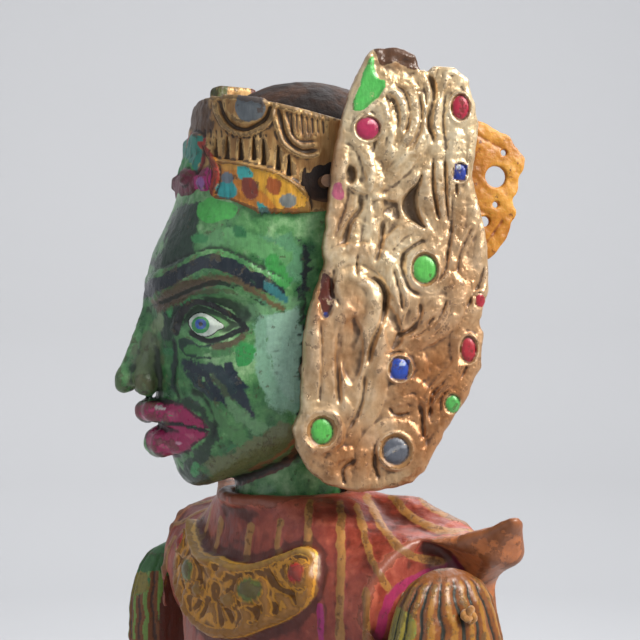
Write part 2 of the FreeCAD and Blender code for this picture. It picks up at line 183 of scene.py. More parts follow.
def rod(X, Y, Z, a, b, ra, rb):
    a, b = np.array(a, float), np.array(b, float)
    w = b - a
    t = np.clip(((X - a[0]) * w[0] + (Y - a[1]) * w[1] + (Z - a[2]) * w[2]) / (w @ w), 0, 1)
    return np.sqrt((X - a[0] - t * w[0]) ** 2 + (Y - a[1] - t * w[1]) ** 2 + (Z - a[2] - t * w[2]) ** 2) - (ra + (rb - ra) * t)


def space(lo, hi, h):
    ax = [np.arange(a, b + h, h, dtype=np.float32) for a, b in zip(lo, hi)]
    return ax[0][:, None, None], ax[1][None, :, None], ax[2][None, None, :]


def skin(D, lo, h, relax=2):
    """Surface of a field, as points and quads in mm."""
    g = vdb.FloatGrid(3.0 * h)
    D = np.clip(D, -3 * h, 3 * h).astype(np.float32)
    for ax in range(3):
        for e in (0, -1):
            s = [slice(None)] * 3
            s[ax] = e
            D[tuple(s)] = 3 * h
    g.copyFromArray(np.ascontiguousarray(D))
    p, _, q = g.convertToPolygons(isovalue=0.0, adaptivity=0.0)
    p = p.astype(np.float64) * h + np.array(lo)
    q = q.astype(np.int64)
    return smooth(p, q, relax, 0.5), q


def edges_of(q):
    e = np.vstack([q[:, [0, 1]], q[:, [1, 2]], q[:, [2, 3]], q[:, [3, 0]]])
    return e


def smooth(p, q, times, f=0.5, masks=None):
    if times == 0:
        return p
    e = edges_of(q)
    n = len(p)
    cnt = np.bincount(e[:, 0], minlength=n) + np.bincount(e[:, 1], minlength=n)
    cnt = np.maximum(cnt, 1)
    for _ in range(times):
        acc = np.stack([np.bincount(e[:, 0], p[e[:, 1], k], n) + np.bincount(e[:, 1], p[e[:, 0], k], n) for k in range(3)], 1)
        p = p + f * (acc / cnt[:, None] - p)
    return p


def normals(p, q):
    a, b, c, d = (p[q[:, i]] for i in range(4))
    nf = np.cross(c - a, d - b)
    n = np.zeros_like(p)
    for i in range(4):
        for k in range(3):
            n[:, k] += np.bincount(q[:, i], nf[:, k], len(p))
    return n / (np.linalg.norm(n, axis=1, keepdims=True) + 1e-12)


def hollowness(p, q, times=8):
    """How far each point stands out of (above 0) or lies in (below 0) the surface round it, in mm."""
    return np.einsum("ij,ij->i", p - smooth(p, q, times, 0.6), normals(p, q))


def mesh_piece(name, p, q, mats, attrs=None, colors=None, shade=True, face_mat=None):
    """A Blender object from points in mm and faces (quads), with float and colour attributes."""
    me = bpy.data.meshes.new(name)
    me.vertices.add(len(p))
    me.vertices.foreach_set("co", (np.asarray(p, np.float64) * MM).ravel())
    q = np.asarray(q)
    k = q.shape[1]
    me.loops.add(q.size)
    me.loops.foreach_set("vertex_index", q.ravel().astype(np.int32))
    me.polygons.add(len(q))
    me.polygons.foreach_set("loop_start", np.arange(0, q.size, k, dtype=np.int32))
    me.polygons.foreach_set("loop_total", np.full(len(q), k, np.int32))
    me.update(calc_edges=True)
    me.validate()
    me.polygons.foreach_set("use_smooth", np.full(len(me.polygons), shade))
    for m in mats if isinstance(mats, (list, tuple)) else [mats]:
        me.materials.append(m)
    if face_mat is not None:
        me.polygons.foreach_set("material_index", np.asarray(face_mat, np.int32))
    for key, val in (attrs or {}).items():
        a = me.attributes.new(key, "FLOAT", "POINT")
        a.data.foreach_set("value", np.asarray(val, np.float32))
    for key, val in (colors or {}).items():
        a = me.attributes.new(key, "FLOAT_COLOR", "POINT")
        c = np.ones((len(p), 4), np.float32)
        c[:, :3] = val
        a.data.foreach_set("color", c.ravel())
    me.update()
    o = bpy.data.objects.new(name, me)
    bpy.context.scene.collection.objects.link(o)
    return o


def table_curve(xs, ys, blur=1.2):
    """Smooth curve through a table."""
    lo, hi = min(xs) - 8, max(xs) + 8
    g = np.arange(lo, hi, 0.2)
    y = np.interp(g, xs, ys)
    k = np.exp(-0.5 * (np.arange(-20, 21) * 0.2 / blur) ** 2)
    y = np.convolve(np.pad(y, 20, mode="edge"), k / k.sum(), "valid")
    return lambda x: np.interp(x, g, y)


def srgb(r, g, b):
    f = lambda c: ((c / 255 + 0.055) / 1.055) ** 2.4 if c / 255 > 0.04045 else c / 255 / 12.92
    return (f(r), f(g), f(b))


class Paint:
    """Painted areas in order: each later one lies over the earlier ones."""

    def __init__(self, n):
        self.sd = np.full(n, -9.0)
        self.col = np.zeros((n, 3))
        self.col[:] = 0.3

    def add(self, sd, col, grow=6.0):
        """sd: signed distance in board units, positive inside."""
        over = sd > np.minimum(self.sd, 0)       # this area's edge is nearer, or it lies on top
        over = (sd > 0) | ((self.sd <= 0) & (sd > self.sd))
        self.col[over] = col
        self.sd = np.where(over, sd, self.sd)


# ------------------------------------------------------------------ material building
class Nodes:
    def __init__(self, name):
        self.m = bpy.data.materials.new(name)
        self.m.use_nodes = True
        self.t = self.m.node_tree
        self.t.nodes.clear()
        self.out = self.t.nodes.new("ShaderNodeOutputMaterial")
        self.b = self.t.nodes.new("ShaderNodeBsdfPrincipled")
        self.t.links.new(self.b.outputs[0], self.out.inputs[0])
        self.co = self.t.nodes.new("ShaderNodeTexCoord").outputs["Object"]

    def link(self, a, b):
        self.t.links.new(a, b)

    def put(self, sock, v):
        if hasattr(v, "is_linked") or isinstance(v, bpy.types.NodeSocket):
            self.link(v, sock)
        elif isinstance(v, (tuple, list)) and len(v) == 3 and sock.type == "RGBA":
            sock.default_value = (*v, 1)
        else:
            sock.default_value = v

    def attr(self, name, out="Fac"):
        n = self.t.nodes.new("ShaderNodeAttribute")
        n.attribute_name = name
        return n.outputs[out]

    def noise(self, scale, detail=4, rough=0.55, stretch=None, off=0.0, out="Fac", distort=0.0):
        n = self.t.nodes.new("ShaderNodeTexNoise")
        n.inputs["Scale"].default_value = scale
        n.inputs["Detail"].default_value = detail
        n.inputs["Roughness"].default_value = rough
        n.inputs["Distortion"].default_value = distort
        mp = self.t.nodes.new("ShaderNodeMapping")
        mp.inputs["Scale"].default_value = stretch or (1, 1, 1)
        mp.inputs["Location"].default_value = (off, off * 0.7, off * 1.3)
        self.link(self.co, mp.inputs[0])
        self.link(mp.outputs[0], n.inputs["Vector"])
        return n.outputs[out]

    def wave(self, scale, distort, axis="Z", stretch=(1, 1, 1)):
        n = self.t.nodes.new("ShaderNodeTexWave")
        n.bands_direction = axis
        n.inputs["Scale"].default_value = scale
        n.inputs["Distortion"].default_value = distort
        n.inputs["Detail"].default_value = 3
        n.inputs["Detail Scale"].default_value = 1.5
        mp = self.t.nodes.new("ShaderNodeMapping")
        mp.inputs["Scale"].default_value = stretch
        self.link(self.co, mp.inputs[0])
        self.link(mp.outputs[0], n.inputs["Vector"])
        return n.outputs["Fac"]

    def voro(self, scale, feature="F1", stretch=(1, 1, 1), out="Distance"):
        n = self.t.nodes.new("ShaderNodeTexVoronoi")
        n.feature = feature
        n.inputs["Scale"].default_value = scale
        mp = self.t.nodes.new("ShaderNodeMapping")
        mp.inputs["Scale"].default_value = stretch
        self.link(self.co, mp.inputs[0])
        self.link(mp.outputs[0], n.inputs["Vector"])
        return n.outputs[out]

    def math(self, op, a, b=0.0, c=0.0):
        n = self.t.nodes.new("ShaderNodeMath")
        n.operation = op
        for s, v in zip(n.inputs, (a, b, c)):
            self.put(s, v)
        return n.outputs[0]

    def step(self, v, lo, hi):
        n = self.t.nodes.new("ShaderNodeMapRange")
        n.interpolation_type = "SMOOTHSTEP"
        self.put(n.inputs["Value"], v)
        n.inputs["From Min"].default_value = lo
        n.inputs["From Max"].default_value = hi
        return n.outputs["Result"]

    def lerp(self, v, a, b, lo=0.0, hi=1.0):
        n = self.t.nodes.new("ShaderNodeMapRange")
        self.put(n.inputs["Value"], v)
        n.inputs["From Min"].default_value = lo
        n.inputs["From Max"].default_value = hi
        n.inputs["To Min"].default_value = a
        n.inputs["To Max"].default_value = b
        return n.outputs["Result"]

    def mix(self, f, a, b, mode="MIX"):
        n = self.t.nodes.new("ShaderNodeMix")
        n.data_type = "RGBA"
        n.blend_type = mode
        self.put(n.inputs["Factor"], f)
        self.put(n.inputs["A"] if False else n.inputs[6], a)
        self.put(n.inputs[7], b)
        return n.outputs[2]

    def ramp(self, v, stops):
        n = self.t.nodes.new("ShaderNodeValToRGB")
        e = n.color_ramp.elements
        e[0].position, e[0].color = stops[0][0], (*stops[0][1], 1)
        e[1].position, e[1].color = stops[-1][0], (*stops[-1][1], 1)
        for pos, c in stops[1:-1]:
            k = e.new(pos)
            k.color = (*c, 1)
        self.put(n.inputs[0], v)
        return n.outputs[0]

    def bump(self, height, dist, strength=1.0, under=None):
        n = self.t.nodes.new("ShaderNodeBump")
        n.inputs["Distance"].default_value = dist
        n.inputs["Strength"].default_value = strength
        self.put(n.inputs["Height"], height)
        if under is not None:
            self.link(under, n.inputs["Normal"])
        return n.outputs[0]

    def done(self, color=None, rough=None, metal=None, normal=None, **kw):
        for key, v in (("Base Color", color), ("Roughness", rough), ("Metallic", metal)):
            if v is not None:
                self.put(self.b.inputs[key], v)
        if normal is not None:
            self.link(normal, self.b.inputs["Normal"])
        for k, v in kw.items():
            self.b.inputs[k].default_value = v
        return self.m


def painted(name, tones, wood=(0.20, 0.10, 0.045), cav=(0.02, 0.012, 0.008), rough=(0.32, 0.6), metal=0.0,
            scale=170.0, cav_k=1.0, chip_k=1.0, high=None, layer=True, streak=(1, 1, 1), spec=0.5, edge_noise=0.9,
            layer_metal=None, grain=0.5, coat=0.15, wear_k=0.6):
    """Old brush-painted carved wood: mottled tones, layers of painted areas, dirt and painted shade in the hollows, a
    painted highlight on the high places, and paint rubbed off the edges. Reads the attributes hollow (mm), psd and
    pcol."""
    n = Nodes(name)
    big = n.noise(scale * 0.55, 6, 0.62, streak, 1.0)
    mid = n.noise(scale * 2.2, 6, 0.65, streak, 4.0)
    fine = n.noise(scale * 9, 4, 0.6, streak, 9.0)
    v = n.math("MULTIPLY_ADD", mid, 0.5, n.math("MULTIPLY", big, 0.62))
    col = n.ramp(v, tones)
    psd = None
    hol = n.attr("hollow")
    # painted highlight: a lighter colour (high) on the high places
    up = n.step(n.math("MULTIPLY_ADD", n.math("SUBTRACT", mid, 0.5), 0.14, hol), 0.02, 0.16)
    if high is not None:
        col = n.mix(n.math("MULTIPLY", up, 0.75), col, high)
    if layer:
        e1 = n.math("SUBTRACT", n.noise(scale * 3.3, 5, 0.7, off=13.0), 0.5)
        psd = n.math("MULTIPLY_ADD", e1, edge_noise * 6.0, n.attr("psd"))
        m = n.step(psd, -0.6, 0.7)
        wear = n.step(n.noise(scale * 2.6, 7, 0.72, off=21.0), 0.30, 0.40)
        m = n.math("MULTIPLY", m, n.math("MULTIPLY_ADD", wear, wear_k, 1 - wear_k))
        pc = n.mix(n.lerp(fine, 0.0, 0.5, 0.35, 0.75), n.attr("pcol", "Color"), n.mix(0.5, n.attr("pcol", "Color"), (0.02, 0.02, 0.02)))
        col = n.mix(m, col, pc)
    # dirt and painted shade in the hollows: each paint goes towards its own deeper tone (cav) there
    darkening = n.step(n.math("MULTIPLY_ADD", n.math("SUBTRACT", mid, 0.5), 0.10, n.math("MULTIPLY", hol, -1.0)), 0.015, 0.16)
    darkening = n.math("MULTIPLY", darkening, 0.85 * cav_k)
    col = n.mix(darkening, col, cav)
    # chips down to the wood
    ch = n.math("MULTIPLY_ADD", n.noise(scale * 2.9, 8, 0.74, off=31.0), 1.0, n.math("MULTIPLY", hol, 0.9))
    chip = n.step(ch, 0.66 - 0.05 * chip_k, 0.70 - 0.05 * chip_k)
    chip = n.math("MULTIPLY", chip, min(1.0, 0.9 * chip_k))
    wd = n.mix(n.noise(scale * 2, 4, 0.6, (4, 4, 0.6), 3.0), wood, tuple(c * 0.45 for c in wood))
    col = n.mix(chip, col, wd)
    r = n.lerp(mid, rough[0], rough[1], 0.3, 0.7)
    r = n.math("MAXIMUM", r, n.math("MULTIPLY", n.math("MAXIMUM", chip, darkening), 0.72))
    hgt = n.math("MULTIPLY_ADD", fine, 0.35, n.math("MULTIPLY_ADD", n.noise(scale * 3, 5, 0.6, (3, 3, 0.5), 7.0), grain, n.math("MULTIPLY", chip, -0.8)))
    nrm = n.bump(hgt, 0.00022, 0.85)
    mt = metal
    if metal > 0:
        mt = n.math("MULTIPLY", metal, n.math("SUBTRACT", 1.0, n.math("MAXIMUM", chip, darkening)))
        if layer:
            mt = n.math("MULTIPLY", mt, n.math("SUBTRACT", 1.0, n.math("MULTIPLY", m, 0.9 if layer_metal is None else layer_metal)))
    mat = n.done(col, r, mt, nrm)
    n.b.inputs["Specular IOR Level"].default_value = spec
    n.b.inputs["Coat Weight"].default_value = coat
    n.b.inputs["Coat Roughness"].default_value = 0.28
    return mat

# ================================================================== head
def to_world(p):
    c, s = math.cos(TURN), math.sin(TURN)
    return np.stack([p[:, 0] * c - p[:, 1] * s, p[:, 0] * s + p[:, 1] * c, p[:, 2]], 1)


def mirrored(p, q):
    return p * np.array([-1.0, 1, 1]), q[:, ::-1]


half_w = table_curve([366, 380, 385, 390, 397, 405, 412, 420, 436, 445], [12, 15, 18, 20, 21.8, 22.8, 23.3, 23.5, 23.8, 23.8])
front = table_curve([366, 380.5, 383, 386, 390, 394, 398, 405, 412, 416, 420, 424, 428, 434, 438, 446],
                    [12, 22.3, 23.6, 24.4, 26.5, 27.5, 27.6, 28.0, 28.8, 29.4, 29.9, 29.3, 28.2, 25.2, 23.5, 22.5])


def head_skin():
    h = 0.45
    lo = np.array([-26.0, -39.0, 365.0])
    X, Y, Z = space(lo, (26, 27, 443), h)
    F = -Y
    L = X
    turn = soft(Z, 385, 405)
    rise = 6.5 * np.clip((23 - F) / 23, 0, 1)
    zz = Z - rise * turn
    W = half_w(Z).astype(np.float32)
    E = np.where(F > 0, front(zz), 24.0).astype(np.float32)
    n = 2.15
    f = ((np.abs(L) / W) ** n + (np.abs(F) / E) ** n) ** (1 / n) + 1e-6
    r = np.sqrt(L * L + F * F)
    D = r * (1 - 1 / f)
    jaw = 378.3 + rise + (L / 20.0) ** 2 * 6 - Z
    D = smax(D, jaw, 4.0)
    D = smax(D, Z - 441.5, 1.0)
    D = smin(D, np.maximum(np.sqrt(L * L + (F - 0) ** 2) - 11.4, 366.2 - Z), 2.0)
    j = int((39 - 17) / h)            # only F above 17 has the nose and mouth
    S = D[:, :j + 3, :]
    Xs, Ys, Zs = X, Y[:, :j + 3, :], Z

    def c(F, L, z):
        return (L, -F, z)
    S = smin(S, rod(Xs, Ys, Zs, c(28.2, 0, 417.5), c(33.7, 0, 402.0), 1.7, 2.1), 2.2)
    S = smin(S, ball(Xs, Ys, Zs, c(33.5, 0, 401.4), 2.45), 1.2)
    S = smin(S, ball(Xs, Ys, Zs, c(34.5, 0, 400.3), 1.45), 1.2)
    for s in (1, -1):
        S = smin(S, ball(Xs, Ys, Zs, c(30.2, 3.7 * s, 400.4), 2.35), 1.4)
        S = smin(S, rod(Xs, Ys, Zs, c(27.6, 2.0 * s, 413), c(30.2, 3.1 * s, 402.4), 1.7, 2.1), 2.2)
        S = smax(S, -rod(Xs, Ys, Zs, c(32.6, 2.3 * s, 397.6), c(31.8, 2.4 * s, 400.2), 0.75, 0.5), 0.5)
        up = [(29.7, 0, 394.9, 2.15), (28.7, 4, 395.3, 1.95), (25.5, 7.5, 394.0, 1.5), (22.0, 10.6, 392.2, 0.7)]
        dn = [(27.4, 0, 388.7, 2.65), (26.6, 4, 388.6, 2.4), (24.0, 7.4, 389.2, 1.8), (21.8, 10.4, 391.1, 0.6)]
        for ch in (up, dn):
            for a, b in zip(ch[:-1], ch[1:]):
                S = smin(S, rod(Xs, Ys, Zs, c(a[0], a[1] * s, a[2]), c(b[0], b[1] * s, b[2]), a[3], b[3]), 1.5)
        S = smax(S, -rod(Xs, Ys, Zs, c(30.6, 0, 391.9), c(27.6, 5.6 * s, 391.9), 0.35, 0.3), 0.5)
        S = smax(S, -rod(Xs, Ys, Zs, c(27.6, 5.6 * s, 391.9), c(22.6, 10.8 * s, 391.9), 0.3, 0.15), 0.5)
    D[:, :j + 3, :] = S
    return skin(D, lo, h, 3)


p, q = head_skin()
u, v = head_board(-p[:, 1], p[:, 0], p[:, 2])
near = soft(-p[:, 1], -14, -6)
R = np.zeros(len(p))
sock = np.clip(1 - np.sqrt(((u - 214) / 50) ** 2 + ((v - 316) / 27) ** 2), 0, 1)
R -= 1.9 * soft(sock, 0, 0.55)
R += 1.35 * soft(disc(u, v, 204, 325, 27, 15, 8), 0, 12)
R = ridge(R, u, v, [(146.7, 291), (158, 287), (176, 278), (205, 266), (220, 265), (249, 279), (278, 293)], 15, 0.75)
R = ridge(R, u, v, [(174, 329), (180, 312), (192, 303), (205, 305), (220, 311), (234, 320)], 4.5, 0.5)
R = ridge(R, u, v, [(157, 304), (168.7, 299), (183, 293), (201, 287), (220, 283), (238, 286), (254, 294)], 5.5, -0.4)
R = ridge(R, u, v, [(188, 333), (203, 342), (220, 341), (240, 332)], 4.5, -0.45)
R = ridge(R, u, v, [(171.6, 337), (173, 366), (171.6, 386), (180, 402)], 6, -0.55)
R = ridge(R, u, v, [(190, 388), (206, 402), (214, 424), (212, 440)], 8, -0.6)
R += 1.1 * np.clip(1 - np.sqrt(((u - 236) / 42) ** 2 + ((v - 384) / 46) ** 2), 0, 1)
R += 0.5 * np.clip(1 - np.sqrt(((u - 157) / 14) ** 2 + ((v - 466) / 18) ** 2), 0, 1)
R = ridge(R, u, v, [(134, 397), (150, 399), (176, 402)], 3.5, -0.3)
facet = 0.13 * vnoise(p, 3.2, 1) + 0.09 * vnoise(p, 1.3, 2) + 0.05 * vnoise(p, 0.7, 3)
N = normals(p, q)
p = p + N * (R * near + facet)[:, None]
hol = 0.8 * hollowness(p, q, 6) + 0.5 * hollowness(p, q, 24)

NAVY, TEAL, TAN, BROWN = srgb(10, 26, 38), srgb(40, 120, 120), srgb(120, 92, 52), srgb(78, 52, 30)
WHITE, MAGENTA, DGREEN, BGREEN, MINT = srgb(205, 214, 196), srgb(165, 28, 88), srgb(14, 52, 34), srgb(66, 165, 74), srgb(138, 192, 158)
BLACK = srgb(16, 18, 18)
P = Paint(len(p))
wv = 2.2 * vnoise(p, 2.2, 5) + 1.4 * vnoise(p, 0.9, 6)
uw, vw = u + wv, v + 1.8 * vnoise(p, 1.8, 8)
# pale mint patches on the cheek and forehead, partly the paint's own pale tone and partly painted highlight
P.add(area(uw, vw, [(258, 313), (275, 306), (299, 308), (303, 345), (302, 400), (288, 412), (266, 398), (256, 360)]) * 0.3 + 0.3, srgb(132, 178, 148))
P.add(area(uw, vw, [(268, 318), (284, 312), (300, 316), (302, 392), (286, 396), (268, 350)]) * 0.3 + 0.3, srgb(150, 190, 166))
P.add(area(uw, vw, [(254, 240), (290, 236), (304, 262), (300, 282), (268, 268)]) * 0.25, srgb(92, 150, 106))
# painted shade: darker green over the front of the forehead, round the inner corner of the eye, under the eye, over the
# front of the nose and beside the mouth and chin
P.add(area(uw, vw, [(166, 226), (182, 205), (200, 205), (196, 240), (184, 262), (160, 268), (150, 262), (164, 246)]) * 0.4, srgb(30, 56, 40))
P.add(area(uw, vw, [(168, 300), (184, 296), (192, 304), (180, 316), (176, 334), (166, 340), (160, 326)]) * 0.4, srgb(24, 52, 36))
P.add(area(uw, vw, [(126, 378), (140, 350), (150, 330), (150, 390), (132, 392)]) * 0.35, srgb(26, 50, 36))
P.add(area(uw, vw, [(172, 404), (190, 398), (214, 424), (216, 446), (200, 470), (214, 480), (190, 492), (176, 476), (196, 450), (208, 430), (192, 410)]) * 0.35, srgb(34, 60, 40))
P.add(area(uw, vw, [(183, 337), (200, 345), (214, 344), (212, 358), (190, 358), (180, 348)]), srgb(18, 56, 40))
P.add(area(uw, vw, [(180, 358), (205, 363), (232, 366), (245, 383), (251, 403), (250, 424), (240, 412), (228, 400), (212, 400), (198, 388), (186, 374)]) * 0.32, srgb(22, 48, 54))
P.add(stroke(uw + wv, vw, [(188, 364), (210, 382), (224, 402)], 4.5) * 0.5, srgb(14, 34, 48))
P.add(stroke(uw + wv, vw, [(228, 366), (240, 384), (246, 404), (248, 418)], 5) * 0.5, srgb(14, 34, 48))
P.add(stroke(uw, vw, [(212, 376), (224, 388), (234, 402)], 2.4) * 0.6, srgb(66, 84, 54))
# streaks of lighter and darker green; the lighter ones down the nose and across the forehead are painted highlight
P.add(stroke(uw + wv, vw, [(214, 418), (236, 436), (262, 452)], 7) * 0.3, srgb(76, 130, 74))
P.add(stroke(uw + wv, vw, [(228, 402), (250, 424), (280, 434)], 6) * 0.3, srgb(98, 146, 98))
P.add(stroke(uw + wv, vw, [(140, 352), (150, 366), (156, 384)], 9) * 0.3, srgb(104, 126, 84))
P.add(stroke(uw + wv, vw, [(160, 318), (152, 340), (144, 362)], 5) * 0.3, srgb(120, 142, 98))
P.add(stroke(uw + wv, vw, [(206, 240), (240, 238), (284, 258)], 9) * 0.3, srgb(96, 158, 96))
P.add(stroke(uw + wv, vw, [(236, 318), (262, 308), (292, 302)], 7) * 0.3, srgb(112, 164, 112))
P.add(stroke(uw + wv, vw, [(190, 350), (220, 352), (250, 344)], 5) * 0.3, srgb(70, 132, 72))
P.add(area(uw, vw, [(236, 346), (250, 344), (257, 352), (252, 364), (238, 366)]), srgb(52, 148, 74))
P.add(area(uw, vw, [(196, 206), (214, 198), (236, 206), (230, 219), (206, 222)]), srgb(74, 178, 76))
P.add(stroke(uw, vw, [(272, 262), (284, 280)], 8), srgb(60, 150, 70))
for k, (cx, cy, a) in enumerate(((182, 300, 8), (168, 352, 7), (150, 370, 6), (196, 470, 8), (230, 452, 9), (262, 440, 8), (200, 238, 9), (240, 232, 8), (262, 300, 6), (170, 312, 5), (218, 462, 5))):
    P.add(disc(uw, vw, cx, cy, a, a * 0.6, 30 * k), (srgb(60, 142, 80), srgb(44, 116, 66), srgb(90, 160, 110))[k % 3])
P.add(disc(uw, vw, 187, 289, 6, 4) * 0.6, srgb(112, 66, 44))
P.add(area(uw, vw, [(126, 384), (136, 356), (148, 330), (160, 340), (160, 380), (146, 392)]) * 0.25, srgb(96, 112, 74))
P.add(area(uw, vw, [(206, 462), (240, 446), (280, 424), (298, 430), (290, 452), (250, 472), (214, 482)]) * 0.22, srgb(104, 112, 70))
P.add(stroke(uw, vw, [(157, 304), (168.7, 297), (183, 291), (201, 284), (220, 278), (237.6, 281), (253.7, 290), (271, 303), (283, 309)], 5.2, 2.6) * 0.35, srgb(112, 92, 56))
P.add(area(uw, vw, [(156, 300), (172, 288), (196, 279), (206, 284), (190, 296), (170, 308), (156, 312)]) * 0.35, srgb(84, 66, 42))
P.add(stroke(uw, vw, [(146.7, 291), (158, 285), (176, 276.5), (192, 267.7), (205, 262), (220, 262.6), (234.6, 267.7), (249, 276.5), (264, 284), (280, 292)], 7.0, 7.0), NAVY)
P.add(stroke(uw, vw, [(266, 285), (284, 298)], 5), srgb(48, 116, 118))
P.add(stroke(uw, vw, [(160, 462), (176, 478), (190, 490)], 3), srgb(40, 60, 40))
P.add(stroke(uw, vw, [(236, 482), (262, 474), (290, 458), (302, 440)], 4.0), srgb(104, 58, 40))
P.add(stroke(uw, vw, [(250, 470), (276, 456), (296, 440)], 2.4), srgb(150, 96, 60))
P.add(stroke(u, v, [(176, 333), (179, 313), (191, 302.5), (205, 304.5), (220, 311), (232, 318), (243, 326)], 3.6, 3.0), BLACK)
P.add(stroke(u, v, [(189, 333), (203, 340), (216, 340), (238, 331), (246, 329)], 2.6), BLACK)
P.add(stroke(uw, vw, [(212.6, 347), (227, 344.5), (242, 338)], 3.2), srgb(96, 86, 56))
# painted shade: a dark stroke down the side of the nose, and a dark strip along the face's edge next to the wing
P.add(stroke(uw, vw, [(171.6, 340), (173, 366), (171.6, 386)], 3), srgb(20, 52, 40))
P.add(stroke(uw + 2 * wv, vw, [(302, 242), (305, 270), (304, 298)], 4.0) * 0.3, srgb(16, 34, 34))
P.add(stroke(uw + wv, vw, [(305, 300), (306, 350), (303, 415)], 3.0) * 0.5, srgb(20, 34, 30))
lip = area(uw, vw, [(143, 403), (158, 401), (176, 403), (190, 411), (207, 428), (205, 435), (196, 442), (184, 452), (168, 457), (152, 451), (144, 437), (150, 425), (138, 420), (130, 409)])
P.add(lip + 1.2, srgb(82, 18, 46))
P.add(lip - 1.0, MAGENTA)
P.add(stroke(u, v, [(142, 423), (160, 423), (182, 425), (206, 431)], 1.9), srgb(26, 8, 18))
for cx, cy, a, b, c in ((160, 408, 6, 2.0, srgb(206, 196, 190)), (178, 443, 4, 1.8, srgb(204, 150, 170)), (172, 414, 7, 2.4, srgb(190, 60, 110)), (190, 436, 5, 2, srgb(184, 70, 110)), (164, 446, 6, 2.2, srgb(196, 80, 120))):
    P.add(disc(u + 0.6 * wv, v, cx, cy, a, b, 12), c)
# back of the head and nape are dark old wood
F = -p[:, 1]
P.add((-9.0 - F) * 5 + wv * 2, srgb(24, 17, 12))

GREENS = [(0.32, srgb(12, 38, 22)), (0.42, srgb(26, 76, 40)), (0.51, srgb(52, 108, 58)), (0.60, srgb(88, 144, 84)), (0.71, srgb(150, 190, 136))]
m_face = painted("green_face", GREENS, wood=srgb(96, 84, 52), cav=srgb(12, 26, 18), rough=(0.22, 0.46), scale=130, cav_k=1.0, chip_k=0.6,
                 high=None, spec=0.5, edge_noise=1.0, grain=0.8, coat=0.3, wear_k=0.35)
face = mesh_piece("head_face", to_world(p), q, m_face, {"hollow": hol, "psd": P.sd}, {"pcol": P.col})
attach(face, "rod_head")
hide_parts("head")

# ---- painted eyes: a thin shell of smooth paint over each carved eyeball
from mathutils.bvhtree import BVHTree
tree = BVHTree.FromPolygons([tuple(x) for x in p], [tuple(int(i) for i in x) for x in q])
eye_at = np.array([EYE * math.sin(PSI) + SHIFT * math.cos(PSI), -(EYE * math.cos(PSI) - SHIFT * math.sin(PSI)), ROW])
rt = np.array([math.cos(PSI), math.sin(PSI), 0])          # rightwards on the board, in head space
fw = -np.array([math.sin(PSI), -math.cos(PSI), 0])
gu, gv = np.meshgrid(np.arange(184, 228, 0.6), np.arange(309, 342, 0.6), indexing="ij")
EYE_LINE = [(188.5, 321), (193, 315.5), (199, 312.8), (206, 313.6), (215, 318.5), (224, 327), (218, 330), (212.6, 334.4), (205, 336.6), (196.5, 334), (190.5, 328)]
sd = area(gu.ravel(), gv.ravel(), EYE_LINE).reshape(gu.shape)
pts, idx = [], -np.ones(gu.shape, int)
for i in range(gu.shape[0]):
    for jx in range(gu.shape[1]):
        if sd[i, jx] < -1.6:
            continue
        d = fw * (PER_MM * EYE) + rt * (gu[i, jx] - 320) + np.array([0, 0, 1.0]) * (320 - gv[i, jx])
        d = Vector(d).normalized()
        hit = tree.ray_cast(Vector(eye_at), d)
        if hit[0] is None:
            continue
        lift = 0.16 + 0.30 * soft(sd[i, jx], 0, 8) if sd[i, jx] > 0 else 0.16 * (1 + sd[i, jx] / 0.7)
        idx[i, jx] = len(pts)
        pts.append((*(hit[0] - d * lift), gu[i, jx], gv[i, jx]))
pts = np.array(pts)
k = np.stack([idx[:-1, :-1], idx[:-1, 1:], idx[1:, 1:], idx[1:, :-1]], -1).reshape(-1, 4)
k = k[(k >= 0).all(1)]
ep = pts[:, :3]
nn = normals(ep, k)
if (nn @ (-fw)).mean() < 0:
    k = k[:, ::-1]
ep = smooth(ep, k, 3, 0.5)
eu, ev = pts[:, 3], pts[:, 4]
EP = Paint(len(ep))
EP.add(np.full(len(ep), 5.0), srgb(22, 26, 28))
EP.add(area(eu, ev, EYE_LINE) - 0.4, srgb(206, 216, 205))
EP.add(np.minimum(disc(eu, ev, 200.4, 325.0, 9.0, 8.6), area(eu, ev, EYE_LINE) - 0.6), srgb(48, 150, 80))
EP.add(disc(eu, ev, 200.6, 324.0, 5.6, 5.4), srgb(30, 84, 176))
EP.add(disc(eu, ev, 200.6, 324.0, 2.2, 2.2), srgb(8, 16, 40))
n = Nodes("eye_paint")
c = n.mix(n.lerp(n.noise(900, 5, 0.6), 0, 0.45, 0.4, 0.75), n.attr("pcol", "Color"), srgb(120, 130, 110))
n.done(c, 0.22, 0.0, n.bump(n.noise(1500, 3), 0.00008, 0.6))
n.b.inputs["Coat Weight"].default_value = 0.6
n.b.inputs["Coat Roughness"].default_value = 0.12
m_eye = n.m
for side, (pp, kk) in (("left", (ep, k)), ("right", mirrored(ep, k))):
    o = mesh_piece("eye_" + side, to_world(pp), kk, m_eye, {}, {"pcol": EP.col})
    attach(o, "rod_head")

# ================================================================== crown, its band and the domed cap
crown_f = table_curve([433, 437.2, 439.8, 442.5, 444.5, 446, 452.7, 454, 455.4, 458, 462], [22.0, 22.4, 22.9, 22.8, 22.2, 21.3, 20.9, 20.4, 20.5, 19.6, 19.3], 0.5)


